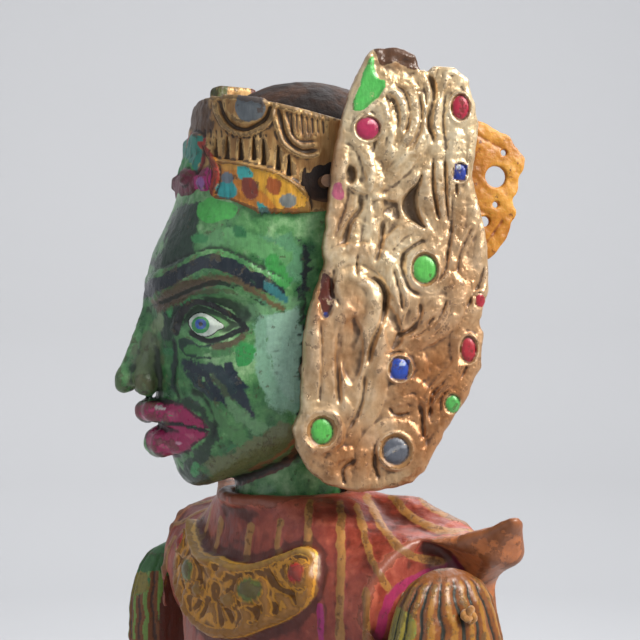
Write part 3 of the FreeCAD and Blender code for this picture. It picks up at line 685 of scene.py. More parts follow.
def crown_skin():
    h = 0.31
    lo = np.array([-26.0, -26.0, 434.0])
    X, Y, Z = space(lo, (26, 24, 466.6), h)
    F = -Y
    E = np.where(F > 0, crown_f(Z), 23.6).astype(np.float32)
    f = ((np.abs(X) / 23.9) ** 2.2 + (np.abs(F) / E) ** 2.2) ** (1 / 2.2) + 1e-6
    r = np.sqrt(X * X + F * F)
    D = r * (1 - 1 / f)
    rim = 458.4 + (F - 20) * 0.235
    D = smax(D, Z - rim, 0.9)
    low = 438.6 - 0.20 * (F - 20) - 0.0 * Z        # lower edge rises towards the temples, then drops behind
    low = np.where(F > 5, 437.6 + (20 - np.clip(F, 5, 22)) * -0.36, 430.0)
    D = smax(D, low - Z, 0.6)
    # a round medallion stands up at the front of the rim, on the right side
    for s in (-1,):
        cx, cf, cz = 21.4 * s, 9.2, 459.4
        ax = np.array([s * 0.94, 0.34])
        d1 = (X - cx) * ax[0] + (F - cf) * ax[1]
        t = -(X - cx) * ax[1] + (F - cf) * ax[0]
        rr = smax(np.abs(t) - 5.1, np.abs(Z - cz) - 5.4, 1.6)
        D = smin(D, smax(rr, np.abs(d1 + 1.2) - 2.0, 0.8), 0.4)
    D = smax(D, Z - 465.2 - 0 * X, 0.5)
    return skin(D, lo, h, 2)


p, q = crown_skin()
u, v = head_board(-p[:, 1], p[:, 0], p[:, 2])
F, side = -p[:, 1], soft(-p[:, 1], -16, -8)
N = normals(p, q)
R = np.zeros(len(p))
out = soft(np.hypot(N[:, 0], N[:, 1]), 0.4, 0.8)
# tall pointed gouges
for gx, y0, y1 in ((215, 138, 160), (226, 136, 160), (240, 138, 161), (253, 136, 161), (263, 138, 166), (278, 145, 171), (289, 154, 177), (304.5, 168, 186)):
    t = (v - y0) / (y1 - y0)
    w = 3.4 * np.sqrt(np.clip(t, 0, 1))
    k = np.clip(1 - np.abs(u - gx) / np.maximum(w, 0.1), 0, 1) * (t > 0) * (t < 1)
    R -= 1.15 * np.sqrt(k) * soft(1 - t, 0, 0.12)
R = ridge(R, u, v, [(278, 108), (284, 133), (291, 144), (303, 151), (317, 150)], 3.2, -0.7)
R = ridge(R, u, v, [(286, 110), (292, 132), (300, 141), (316, 141)], 2.4, -0.4)
R = ridge(R, u, v, [(273, 110), (279, 134), (287, 147), (303, 156), (317, 155)], 2.6, 0.45)
for gx in np.arange(291, 326, 5.2):
    R = ridge(R, u, v, [(gx, 112), (gx + 1.5, 134)], 1.8, -0.35)
for gx in np.arange(204, 270, 5.6):
    R = ridge(R, u, v, [(gx, 128 + 0.1 * (gx - 204)), (gx + 0.6, 138)], 1.8, -0.28)
R = ridge(R, u, v, [(219, 100), (224.5, 117), (233, 126), (245, 129.4), (257, 124.5), (266, 117), (271, 104)], 2.6, -0.75)
R = ridge(R, u, v, [(214, 100), (220, 119), (231, 131), (245, 134.4), (260, 129), (270, 121), (276, 106)], 2.8, 0.5)
R += 0.7 * soft(disc(u, v, 245, 101, 24, 26), 0, 6)
BAND_T = [(214, 158), (222, 162), (238, 163), (252, 166), (273, 171), (285, 177), (297, 185), (308, 197)]
BAND_B = [(312, 242), (301, 236), (285, 226), (273, 219), (258.5, 211), (243, 204.5), (231, 200), (214, 195)]
band = area(u, v, BAND_T + BAND_B)
R += 0.85 * soft(band, -1.2, 1.2)
R = ridge(R, u, v, BAND_T, 2.6, 0.4)
R = ridge(R, u, v, BAND_B, 2.6, 0.35)
LEAF = [(199, 132), (204.5, 138), (205, 152), (201, 166), (192, 184), (185, 183), (186, 162), (189, 143), (193, 133)]
leaf = area(u, v, LEAF)
R += 1.0 * soft(leaf, -1, 4)
tear = disc(u, v, 207, 181, 10, 14, 12)
R += 1.25 * soft(tear, -1, 6)
R = ridge(R, u, v, [(206, 140), (211, 155), (219, 169), (218, 186), (211, 197)], 3.2, 0.6)
R += 0.9 * soft(area(u, v, [(180, 176), (192, 170), (201, 178), (198, 194), (184, 198), (179, 190)]), -1, 4)
R = ridge(R, u, v, [(198, 100), (230, 97.5), (262, 102), (300, 112), (329, 120)], 3.0, 0.3)
R += (0.10 * vnoise(p, 1.6, 11) + 0.08 * vnoise(p * np.array([1, 1, 0.22]), 0.8, 12)) * 1.3
R = R * np.where(R > 0, out, out)
p = p + N * (R * side * 1.0 + (1 - side) * 0.1 * vnoise(p, 2, 13))[:, None]
hol = 0.9 * hollowness(p, q, 5) + 0.6 * hollowness(p, q, 20)
wv = 1.6 * vnoise(p, 1.5, 15)
P = Paint(len(p))
P.add(band - 0.5, srgb(196, 122, 34))
P.add(np.minimum(band - 0.5, area(u, v, [(240, 160), (275, 168), (310, 190), (314, 240), (290, 225), (268, 196), (246, 180)])), srgb(214, 156, 44))
for poly, c in (([(222, 183), (232, 181), (240, 190), (234, 199), (222, 195)], srgb(44, 160, 160)), ([(239, 167), (250, 168), (255, 176), (248, 182), (240, 178)], srgb(58, 166, 162)),
                ([(257, 202), (268, 208), (286, 222), (280, 228), (264, 217)], srgb(52, 150, 146)), ([(245, 178), (256, 180), (260, 194), (250, 200), (243, 190)], srgb(128, 52, 30)),
                ([(270, 178), (282, 184), (278, 196), (268, 190)], srgb(156, 80, 30)), ([(284, 206), (304, 214), (309, 236), (292, 226)], srgb(210, 132, 40)),
                ([(224, 164), (236, 164), (238, 170), (226, 171)], srgb(210, 150, 60))):
    P.add(area(u + wv, v, poly), c)
P.add(disc(u + wv, v, 229, 178, 6.5, 5.5), srgb(108, 118, 128))
P.add(disc(u + wv, v, 288, 201, 8.5, 7), srgb(118, 122, 118))
P.add(disc(u, v, 249, 108, 17, 14, 0) + np.minimum(0, (u - 243) * 0.7), srgb(98, 104, 108))
P.add(leaf + 1.8, srgb(150, 40, 30))
P.add(leaf - 0.6, srgb(44, 132, 116))
P.add(area(u + wv, v, [(184, 160), (192, 160), (196, 178), (186, 184)]), srgb(52, 140, 72))
P.add(area(u + wv, v, [(186, 104), (206, 100), (214, 128), (204, 136), (190, 130)]) * 0.3, srgb(92, 62, 38))
P.add(area(u + wv, v, [(179, 176), (190, 170), (202, 176), (200, 194), (186, 199), (178, 190)]), srgb(108, 20, 48))
P.add(tear - 0.3, srgb(172, 38, 110))
P.add(disc(u, v, 205, 184, 4.5, 6.5), srgb(150, 96, 160))
P.add(stroke(u + wv, v, [(205, 144), (211, 156), (219, 170), (218, 186), (211, 198)], 2.8), srgb(164, 50, 34))
top = (N[:, 2] > 0.6)
far = top & (p[:, 0] < -8)
far_v = (p[:, 0] < -8) & (p[:, 2] > 456.5)
P.add(np.where(far_v, (F - 10.5) * 4, -9), srgb(84, 86, 40))
P.add(np.where(far_v, (5.0 - F) * 4, -9), srgb(120, 40, 30))
n_side = np.where(p[:, 0] < -10, 4.0, -9.0)
P.add((-13.0 - F) * 4, srgb(56, 36, 20))
CROWN_T = [(0.26, srgb(62, 42, 24)), (0.40, srgb(112, 78, 44)), (0.52, srgb(158, 116, 68)), (0.66, srgb(190, 152, 98)), (0.80, srgb(222, 192, 140))]
m_crown = painted("crown_gold", CROWN_T, wood=srgb(84, 54, 30), cav=srgb(34, 21, 12), rough=(0.34, 0.55), metal=0.45, scale=150, cav_k=1.0,
                  chip_k=0.7, high=srgb(206, 170, 112), streak=(1.6, 1.6, 0.35), grain=0.9)
crown = mesh_piece("head_crown", to_world(p), q, m_crown, {"hollow": hol, "psd": P.sd}, {"pcol": P.col})
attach(crown, "rod_head")
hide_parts("head")

h = 0.5
lo = np.array([-26.0, -24.0, 434.0])
X, Y, Z = space(lo, (26, 29, 466), h)
D = ball(X, (Y - 3.0) / 1.0, Z, (0, 0, 438.6), 24.4)
D = smax(D, Z - 463.4, 2.0)
D = smax(D, 436.0 - Z, 1.0)
p, q = skin(D, lo, h, 3)
N = normals(p, q)
ang = np.arctan2(p[:, 0], p[:, 1] - 3)
st = np.abs(np.sin(ang * 9 + 2.5 * vnoise(p, 6, 21))) ** 0.5
p = p + N * (0.28 * (st - 0.7) * soft(-np.abs(p[:, 2] - 450), -14, 0) + 0.12 * vnoise(p, 1.5, 22))[:, None]
hol = hollowness(p, q, 8)
n = Nodes("cap_wood")
v1 = n.noise(130, 7, 0.65, (1, 1, 0.6), 2)
c = n.ramp(v1, [(0.28, srgb(16, 10, 8)), (0.48, srgb(38, 24, 17)), (0.62, srgb(70, 46, 32)), (0.76, srgb(112, 78, 52))])
c = n.mix(n.math("MULTIPLY", n.step(n.attr("hollow"), 0.05, 0.2), 0.6), c, srgb(100, 70, 48))
n.done(c, n.lerp(v1, 0.46, 0.7, 0.3, 0.7), 0.0, n.bump(n.noise(420, 6, 0.65, (1, 1, 0.4)), 0.0004, 1.0))
n.b.inputs["Specular IOR Level"].default_value = 0.3
cap = mesh_piece("head_cap", to_world(p), q, n.m, {"hollow": hol})
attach(cap, "rod_head")
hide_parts("head")

# ================================================================== carved wings
WING = [(-4.0, 450.7), (-4.9, 454.5), (-6.2, 458.7), (-8.9, 463.6), (-11.0, 465.2), (-14.8, 465.8),
        (-17.3, 465.3), (-19.2, 464.4), (-20.2, 461.4), (-22.3, 462.4), (-26.7, 461.9), (-29.6, 459.7),
        (-30.6, 455.0), (-31.4, 450.5), (-30.8, 445.2), (-30.2, 440.4), (-31.4, 436.4), (-33.2, 427.5),
        (-33.3, 419.2), (-31.7, 413.5), (-32.4, 410.4), (-31.9, 404.7), (-29.0, 398.4), (-24.8, 392.0),
        (-21.0, 384.4), (-18.4, 382.2), (-14.0, 381.2), (-8.3, 380.4), (-4.0, 381.6), (-0.7, 382.9),
        (2.3, 385.4), (4.4, 389.2), (4.9, 393.0), (3.8, 397.0), (3.2, 411.1), (2.1, 416.0),
        (-0.6, 423.5), (-0.6, 428.5), (-1.6, 437.0), (-2.6, 444.0)]
C6, S6 = math.cos(math.radians(6)), math.sin(math.radians(6))


def wing_space(U, W, Z):
    """Plate coordinates (U rearwards, W outwards, Z) to head space, left side."""
    x = 24.35 + W * C6 + U * S6
    y = -3.0 - W * S6 + U * C6
    return x, y, Z


hh = 0.29
ulo, zlo, wlo = -2.6, 379.0, -1.0
U = np.arange(ulo, 38.2, hh)
Z = np.arange(zlo, 467.5, hh)
Wd = np.arange(wlo, 7.2, hh)
UU, ZZ = np.meshgrid(U, Z, indexing="ij")
x, y, z = wing_space(UU, 4.6, ZZ)
bu, bv = head_board(-y, x, z)
bu, bv = bu.ravel(), bv.ravel()
shape = UU.shape
oc = np.array([((-f + 3.0) / C6, zz_) for f, zz_ in WING])
edge = area(UU.ravel(), ZZ.ravel(), oc, smooth=False)
OUT = [(343, 123), (348, 103), (355, 81), (369, 53), (380, 45), (388, 42), (413, 45), (423, 50), (424, 66), (429, 71), (439, 62), (447, 61), (462, 66),
       (477, 78), (481, 93), (481, 110), (486, 116), (486, 136), (483, 154), (479, 179), (492, 221), (497, 254), (496, 290), (494, 300), (487, 320),
       (492, 336), (489, 366), (474, 399), (452, 432), (431, 475), (419, 485), (396, 490), (366, 497), (343, 489), (326, 484), (310, 471), (298, 449),
       (295, 429), (302, 412), (303, 399), (306, 333), (311, 308), (326, 267), (325, 246), (328, 221), (331, 188), (335, 163), (341, 130)]
ob = area(bu, bv, OUT, smooth=False) / 5.1
edge = np.minimum(edge, np.where(ob > -2, ob + 0.25, edge))
pp3 = np.stack([UU.ravel() * 1.0, ZZ.ravel() * 1.0, 0 * UU.ravel()], 1)
edge = edge + 0.22 * vnoise(pp3, 1.7, 31) + 0.12 * vnoise(pp3, 0.7, 32) - 0.1
R = np.zeros(bu.shape)
# wide soft masses first
R += 0.9 * soft(disc(bu, bv, 348, 340, 46, 90), 0, 14)                       # the ear's mound
R += 0.8 * soft(disc(bu, bv, 322, 431.6, 26, 26), 0, 8)
R += 0.6 * soft(disc(bu, bv, 440, 290, 44, 60, -20), 0, 18)
R += 0.5 * soft(disc(bu, bv, 440, 150, 40, 70), 0, 20)
R += 0.6 * soft(disc(bu, bv, 390, 120, 34, 60, -15), 0, 16)
R += 0.7 * soft(disc(bu, bv, 462, 390, 30, 60, 25), 0, 14)
R -= 0.6 * soft(disc(bu, bv, 400, 200, 26, 22, 30), 0, 10)
RID = [([(361, 112), (368, 105), (378, 105), (383, 115), (384, 128), (381, 138)], 4.5, .85), ([(383.5, 97), (390, 110), (393.4, 128), (392, 143), (387, 157)], 4.2, .9),
       ([(387, 91), (398, 93), (405, 103.5), (407, 116), (404, 131), (399.5, 142)], 4.6, 1.0), ([(407, 82), (416, 96), (421, 113), (416, 129.5), (405.7, 148), (392, 163)], 5.2, 1.0),
       ([(427, 80.5), (431.7, 94), (430, 122), (421, 143), (407, 162), (386, 182)], 5.5, 1.0), ([(447, 67), (438, 100), (435, 137), (438, 152)], 5, .8),
       ([(447, 65), (465, 70), (477.6, 80.5), (480.7, 96), (476, 111), (467, 122)], 5, .8), ([(483, 113), (485, 125), (480.7, 149.5), (474.6, 157)], 5, .7),
       ([(457.7, 128), (456, 140), (453, 157)], 4.5, .7), ([(376.6, 207.6), (392, 197), (407, 186), (421, 174)], 5, .8),
       ([(346, 136), (353.6, 137), (364, 149.5), (370, 165), (370.4, 180), (366, 188), (357, 186), (350.5, 177)], 4.4, .95), ([(341, 150), (341, 165), (343, 180)], 6, .9),
       ([(370, 160), (375, 175.5), (376.6, 198.5), (375, 221), (367.4, 252)], 6, .9), ([(386, 257), (387, 247.5), (398, 235), (410, 227.5), (422.5, 227.5), (430, 235)], 4.6, .9),
       ([(390, 263), (407, 244), (419.5, 235)], 3.4, .55), ([(328, 270), (335, 260), (346, 254), (364.6, 253), (383, 263), (396, 280), (399.5, 300), (393, 320), (384.5, 340), (380, 363)], 7.5, 1.35),
       ([(356, 276.5), (368, 281.5), (375, 293), (374.6, 313), (369.6, 330), (363, 353)], 5.5, .9), ([(353, 306), (345, 316), (345, 336)], 6.5, .9),
       ([(300, 416), (315, 408), (330, 412), (339, 424), (338, 440), (326, 450)], 5, .8), ([(409, 344.5), (439, 330), (456, 308), (456, 288), (446, 280)], 7, 1.1),
       ([(462.5, 321), (459, 343), (459, 366), (436, 393), (433, 409), (431, 432)], 5.5, .9), ([(363, 489), (364.6, 454), (373, 437), (389.5, 426), (409, 429), (419, 446), (413, 466), (396, 480.5)], 5.5, .95),
       ([(333, 482), (331.5, 466), (338, 456), (356, 452)], 4.6, .75), ([(389.5, 394), (416, 386), (431, 403)], 5, .8), ([(396, 404), (411, 399), (426, 407.5)], 3.6, .6),
       ([(482, 200), (478, 215), (471.5, 229), (462, 252)], 4, .7), ([(490, 221), (484, 240), (480, 262)], 4.2, .7), ([(443, 300), (432, 312), (416, 322)], 4, .6),
       ([(492, 262), (488, 290), (470, 318)], 4, .7), ([(488, 340), (480, 372), (462, 402)], 4.4, .8), ([(446, 424), (436, 450), (424, 474)], 4.6, .8),
       ([(470, 126), (474, 150), (470, 196)], 4, .5), ([(340, 400), (352, 420), (356, 440)], 5, .6), ([(384, 366), (378, 400), (366, 424)], 5.5, .8),
       ([(420, 356), (424, 372), (414, 384)], 4, .6), ([(310, 318), (314, 350), (314, 380), (311, 404)], 6, .7), ([(326, 462), (312, 452), (304, 436)], 4, .6),
       ([(428, 160), (428, 190), (434, 216)], 3.2, .5), ([(440, 158), (441, 190), (446, 222)], 3.2, .5), ([(451, 160), (452, 196), (455, 226)], 3.2, .45),
       ([(463, 190), (462, 214), (458, 240)], 3.2, .5), ([(430, 256), (436, 244), (450, 236), (462, 252)], 3.6, .55), ([(352, 214), (356, 236), (352, 250)], 4, .5)]
GRO = [([(395, 87), (404, 91), (408.7, 103.5), (409.5, 116), (405.7, 134)], 3, -.8), ([(419.5, 91), (422.5, 113), (419.5, 129.5), (408, 152)], 3.2, -.8),
       ([(430, 71), (435, 88), (433, 103.5), (430, 122), (434, 140)], 4, -1.5), ([(361, 195), (361, 208), (350.5, 223), (344, 244)], 4, -.9), ([(404, 263), (407, 252), (419.5, 243), (427, 240)], 3, -.7),
       ([(453, 191), (453, 221), (448.5, 260)], 2.6, -.6), ([(404, 250), (403, 270), (409, 286.5), (421, 295)], 3.6, -.9), ([(449, 250), (446, 270), (436, 283)], 2.6, -.7),
       ([(335, 267), (333, 290), (340, 305)], 4, -.8), ([(364.6, 275), (381, 283), (387, 298), (383, 320), (373, 343), (369.6, 363)], 3.8, -1.0), ([(340, 325), (338, 366), (340, 407.5)], 4, -.9),
       ([(358, 254), (357, 275)], 1.8, -.6), ([(421, 301), (421, 316), (413, 330), (398, 336)], 3.2, -.8), ([(447.5, 379), (432.6, 396), (431, 416)], 3.2, -.8),
       ([(372, 112), (372, 108)], 2, -.2), ([(376, 118), (377, 134), (374, 150)], 2.8, -.5), ([(386, 94), (392, 110), (394, 130)], 2.6, -.5), ([(424, 84), (427, 100), (424, 124), (412, 150)], 2.4, -.55),
       ([(390, 118), (386, 150)], 2.2, -.3), ([(434, 158), (434, 186), (440, 218)], 2.4, -.7), ([(446, 158), (447, 190), (450, 222)], 2.4, -.7), ([(457, 166), (458, 196)], 2.2, -.6),
       ([(462, 84), (466, 100), (458, 122)], 2.4, -.4), ([(446, 92), (444, 120), (447, 148)], 2.6, -.6), ([(474, 226), (462, 252), (458, 274)], 2.6, -.6), ([(488, 262), (478, 290), (468, 306)], 2.6, -.6),
       ([(468, 330), (472, 352), (462, 378)], 2.8, -.7), ([(478, 388), (456, 420), (440, 458)], 2.8, -.7), ([(382, 446), (376, 462), (380, 480)], 3.2, -.8), ([(346, 486), (344, 470), (356, 462)], 3, -.7),
       ([(366, 372), (362, 404), (350, 430)], 3.4, -.8), ([(402, 352), (384, 354)], 2.2, -.4), ([(420, 404), (424, 420), (424, 440)], 3, -.6), ([(390, 408), (398, 416), (412, 414)], 2.6, -.5),
       ([(321, 320), (322, 360), (320, 400)], 2.4, -.5), ([(304, 330), (306, 380)], 2, -.4), ([(336, 236), (348, 200), (348, 190)], 3, -.5), ([(384, 222), (382, 244), (376, 262)], 3.4, -.8),
       ([(394, 268), (400, 290), (404, 312)], 3.2, -.7), ([(434, 318), (424, 332), (412, 338)], 2, -.5), ([(448, 300), (440, 318), (426, 334)], 1.8, -.5), ([(452, 306), (446, 322), (434, 336)], 1.8, -.45)]
for a, b, c in RID:
    R = ridge(R, bu, bv, a, b * 1.45, c * 0.62)
for a, b, c in GRO:
    R = ridge(R, bu, bv, a, b * 1.0, c * 1.15)
for sd_, deep in ((area(bu, bv, [(386, 94), (395, 96), (399.5, 110), (400, 125), (398, 140), (393, 146), (395, 128), (392, 110)]), .6),
                  (area(bu, bv, [(422.5, 174), (421, 183), (418, 198.5), (421, 214), (427, 227.5), (416, 223), (406, 212), (404, 203), (410, 191), (418, 182)]), 1.7),
                  (disc(bu, bv, 352, 174, 5.5, 9.5), 1.5), (area(bu, bv, [(320, 272), (334, 280), (333, 312), (322, 318), (318, 296)]), .8),
                  (disc(bu, bv, 352, 350, 12, 34), .9), (area(bu, bv, [(384, 300), (398, 316), (404, 340), (392, 350), (384, 330)]), .7),
                  (area(bu, bv, [(436, 70), (447, 64), (445, 80), (440, 100), (434, 96)]), .6), (area(bu, bv, [(372, 200), (398, 202), (400, 222), (384, 236), (376, 222)]), .7),
                  (area(bu, bv, [(384, 290), (396, 300), (402, 326), (396, 332), (386, 316)]), .5), (area(bu, bv, [(428, 414), (444, 392), (450, 396), (434, 424)]), .6)):
    R -= deep * soft(sd_, -1.5, 2.5)
# the ear and the front column are plainer and rounder; the rest is worked all over with tool marks
flow = vnoise(np.stack([bu, bv, 0 * bu], 1), 42, 41) * 2.2
tx = bu * np.cos(flow) + bv * np.sin(flow)
work = np.sin(tx * 0.55 + 3 * vnoise(np.stack([bu, bv, 0 * bu], 1), 30, 42))
plain = soft(disc(bu, bv, 350, 350, 52, 104), 0, 8)
R += 0.09 * work * (1 - plain) + 0.10 * vnoise(pp3, 1.1, 33) + 0.06 * vnoise(pp3, 0.6, 34)
# set stones: a bead in a ring
STONES = [(368, 128, 12, 11.5, 15.5, 15, (176, 44, 84), 0), (461, 107, 8.5, 12.5, 13, 17.5, (178, 34, 62), 0), (460.5, 172, 7, 9, 10, 12.5, (34, 56, 148), 1),
          (425, 269, 12, 14, 17, 21, (96, 190, 86), 0), (400, 369, 9.5, 11.5, 15, 16, (40, 72, 168), 1), (322, 431.6, 11, 13, 18, 19, (92, 186, 84), 0),
          (396, 451, 13, 13.5, 20, 21, (92, 96, 106), 0), (453, 404, 7.5, 9, 11, 13, (88, 176, 86), 0), (469, 349.5, 7.5, 12.5, 12.5, 18, (176, 44, 56), 0), (480.5, 300, 5, 7.5, 8, 11, (168, 36, 52), 0)]
for sx, sy, a, b, ra, rb, _, _ in STONES:
    ring = 1 - np.sqrt(((bu - sx) / ra) ** 2 + ((bv - sy) / rb) ** 2)
    core = 1 - np.sqrt(((bu - sx) / a) ** 2 + ((bv - sy) / b) ** 2)
    w = soft(ring, -0.05, 0.1)
    R = R * (1 - w) + w * (0.55 + 0.30 * np.exp(-((ring - 0.12) / 0.10) ** 2))
    R = np.where(core > -0.15, R - 0.5 * soft(core, -0.15, 0.02), R)
    R = R + 0.62 * np.clip(core * 3, 0, 1) ** 0.5
rim = np.clip(edge / 1.6, 0, 1)
topw = 3.5 + R * (0.35 + 0.65 * soft(edge, 0.2, 1.6)) - 0.9 * (1 - np.sqrt(1 - (1 - rim) ** 2))
# rough broken top and the wide flat painted facet at the front edge
PATCH = [(372.7, 55), (375, 70), (379.6, 79), (384, 80.5), (383.5, 91), (373.5, 102), (361, 111), (352, 110), (353.6, 97), (361, 80.5), (367.4, 64)]
pt = soft(area(bu, bv, PATCH), -1, 2)
topw = topw * (1 - pt) + pt * 3.9
rough_ = soft(area(bu, bv, [(374, 40), (426, 42), (425, 66), (410, 78), (394, 74), (378, 78)]), -1, 4)
topw = topw + rough_ * (0.5 * vnoise(pp3, 1.2, 35) - 0.3)
topw = np.clip(topw, 1.2, 5.75)
topg, edgeg = topw.reshape(shape), edge.reshape(shape)
W3 = Wd[:, None, None]
D = np.maximum(smax(-edgeg[None], (W3 - topg[None]) * 0.85, 0.5), 0.02 - W3 - 0 * edgeg[None])
p, q = skin(D, (wlo, ulo, zlo), hh, 1)
wn, un, zn = p[:, 0], p[:, 1], p[:, 2]
x, y, z = wing_space(un, wn, zn)
P3 = np.stack([x, y, z], 1)
q = q if True else q
# the axes were (W, U, Z), a turn of (x, y, z) that keeps handedness when W is x and U is y
u, v = head_board(-y, x, z)
nrm_ = normals(P3, q)
outw = soft(nrm_[:, 0], -0.1, 0.3)
ii = np.clip(((un - ulo) / hh).round().astype(int), 0, shape[0] - 1)
jj = np.clip(((zn - zlo) / hh).round().astype(int), 0, shape[1] - 1)
Rg = R.reshape(shape)[ii, jj]
hol = np.where(nrm_[:, 0] > 0, 0.55 * hollowness(P3, q, 5) + 0.42 * hollowness(P3, q, 24) + 0.05 * (Rg - 0.45), hollowness(P3, q, 8) - 0.02)
P = Paint(len(P3))
wv = 1.5 * vnoise(P3, 1.3, 36)
P.add(np.where(nrm_[:, 0] > 0.2, area(u + wv, v, PATCH), -9) - 0.2, srgb(84, 184, 86))
P.add(np.where(nrm_[:, 0] > 0.1, area(u + 1.5 * wv, v, [(378, 40), (412, 42), (424, 50), (424, 66), (412, 70), (396, 62), (384, 66), (374, 52)]), -9), srgb(92, 60, 38))
P.add(area(u + wv, v, [(322, 274), (334, 282), (333, 306), (324, 316), (319, 298)]) , srgb(92, 40, 28))
P.add(disc(u + wv, v, 338, 191, 6, 9), srgb(186, 96, 120))
P.add(disc(u, v, 326, 315, 3, 3), srgb(40, 70, 160))
for sx, sy, a, b, ra, rb, c, box in STONES:
    sd_ = disc(u, v, sx, sy, a, b) if not box else np.minimum(a * 0.92 - np.abs(u - sx + 0.15 * (v - sy)), b * 0.9 - np.abs(v - sy - 0.12 * (u - sx)))
    P.add(np.where(nrm_[:, 0] > -0.1, disc(u, v, sx, sy, ra, rb), -9) - 2.6, srgb(160, 116, 68))
    P.add(np.where(nrm_[:, 0] > -0.1, sd_, -9), srgb(*c))
# painted glints: small light spots on the blue and red stones, and a light streak on the grey stone
P.add(disc(u, v, 459, 167, 2.6, 2.4), srgb(200, 210, 225))
P.add(disc(u, v, 402, 364, 3.0, 2.2), srgb(180, 196, 226))
P.add(disc(u, v, 371, 122, 3.2, 2.4), srgb(222, 130, 150))
P.add(stroke(u, v, [(386, 455), (396, 448), (406, 446)], 2), srgb(132, 136, 144))
# where the gold is darker and redder; the inner face and edges of the plate get painted shade below
darker_red_and_inner_shade = np.zeros(len(P3))
for cx, cy, rx, ry, a in ((342, 350, 44, 92, .55), (352, 318, 22, 44, .66), (460, 300, 50, 130, .55), (340, 210, 18, 50, .42), (430, 210, 70, 50, .22), (400, 340, 60, 40, .34), (440, 385, 90, 120, .85), (322, 300, 16, 50, .8), (312, 360, 12, 60, .35), (350, 455, 66, 60, .8), (430, 440, 50, 60, .8), (460, 340, 34, 60, .6), (400, 395, 60, 30, .5),
                          (334, 150, 12, 60, .55), (490, 240, 14, 60, .4), (400, 56, 28, 16, .8), (362, 250, 30, 12, .3)):
    darker_red_and_inner_shade = np.maximum(darker_red_and_inner_shade, a * np.clip(1.25 * (1 - np.sqrt(((u - cx) / rx) ** 2 + ((v - cy) / ry) ** 2)), 0, 1) ** 0.6)
# painted shade: the plate's edges and its inner face, towards the head, are darkened all over
darker_red_and_inner_shade = np.where(nrm_[:, 0] > 0.0, darker_red_and_inner_shade, 0.75)
darker_red_and_inner_shade = np.where(nrm_[:, 0] < -0.7, 0.95, darker_red_and_inner_shade)
WT = [(0.28, srgb(122, 90, 56)), (0.40, srgb(172, 138, 96)), (0.50, srgb(206, 176, 134)), (0.62, srgb(228, 204, 164)), (0.76, srgb(244, 230, 200))]


def wing_mat():
    m = painted("wing_gold", WT, wood=srgb(96, 62, 34), cav=srgb(66, 42, 24), rough=(0.28, 0.48), metal=0.5, scale=150, cav_k=0.95, chip_k=0.6,
                high=srgb(236, 216, 182), streak=(1, 1, 1), grain=0.5, coat=0.15)
    # darker, redder gold where the attribute says so, and painted shade on the plate's inner face and edges
    t = m.node_tree
    b = next(x for x in t.nodes if x.type == "BSDF_PRINCIPLED")
    base = b.inputs["Base Color"].links[0].from_socket
    a = t.nodes.new("ShaderNodeAttribute")
    a.attribute_name = "darker_red_and_inner_shade"
    ps = t.nodes.new("ShaderNodeAttribute")
    ps.attribute_name = "psd"
    mr = t.nodes.new("ShaderNodeMapRange")
    mr.inputs["From Min"].default_value = 1.0
    mr.inputs["From Max"].default_value = -1.0
    t.links.new(ps.outputs["Fac"], mr.inputs["Value"])
    mu = t.nodes.new("ShaderNodeMath")
    mu.operation = "MULTIPLY"
    t.links.new(a.outputs["Fac"], mu.inputs[0])
    t.links.new(mr.outputs[0], mu.inputs[1])
    mx = t.nodes.new("ShaderNodeMix")
    mx.data_type = "RGBA"
    mx.blend_type = "MULTIPLY"
    t.links.new(mu.outputs[0], mx.inputs["Factor"])
    t.links.new(base, mx.inputs[6])
    mx.inputs[7].default_value = (0.52, 0.22, 0.06, 1)
    t.links.new(mx.outputs[2], b.inputs["Base Color"])
    return m


m_wing = wing_mat()
for side, (pw, qw) in (("left", (P3, q)), ("right", mirrored(P3, q))):
    o = mesh_piece("wing_" + side, to_world(pw), qw, m_wing, {"hollow": hol, "psd": P.sd, "darker_red_and_inner_shade": darker_red_and_inner_shade}, {"pcol": P.col})
    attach(o, "rod_head")
    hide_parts("ear_wing_" + side)

# ================================================================== jacket body, yoke, epaulettes, collar ornament
def ell(X, Y, Z, tab, n=2.0, px=0.0):
    """Upright loft of ellipses: rows (z, cy, a, b)."""
    t = np.array(tab, float)
    zc = np.clip(Z, t[0, 0], t[-1, 0])
    cy, a, b = (np.interp(zc, t[:, 0], t[:, i]) for i in (1, 2, 3))
    x, y = X - px, Y - cy
    f = ((np.abs(x) / a) ** n + (np.abs(y) / b) ** n) ** (1 / n) + 1e-6
    r = np.sqrt(x * x + y * y)
    D = r * (1 - 1 / f)
    return smax(smax(D, Z - t[-1, 0], 1.2), t[0, 0] - Z, 1.0)


h = 0.68
lo = np.array([-59.0, -21.0, 274.0])
X, Y, Z = space(lo, (59, 26, 381.0), h)
TR = [(275, 0, 25, 19), (288, 0, 26.5, 20), (305, 0, 27, 19.8), (322, 0, 29.5, 19.6), (338, .5, 32, 19.4), (350, 1.5, 34.5, 18.8), (360, 2, 35.5, 17.6), (368, 2, 32, 15.8), (374, 1, 25, 14.2), (377.8, 0, 17.5, 13.4)]
D = ell(X, Y, Z, TR)
ax = np.abs(X)
t = np.array([(0, 3, 355, 17, 19), (30, 5.2, 356.5, 15.6, 16.6), (42.2, 6.6, 357.4, 14.6, 15.2)])
cy, cz, hy, hz = (np.interp(ax, t[:, 0], t[:, i]) for i in (1, 2, 3, 4))
f = np.sqrt(((Y - cy) / hy) ** 2 + ((Z - cz) / hz) ** 2) + 1e-6
r = np.sqrt((Y - cy) ** 2 + (Z - cz) ** 2)
yoke = smax(r * (1 - 1 / f), ax - 42.3, 0.9)
D = smin(D, yoke, 5.0)
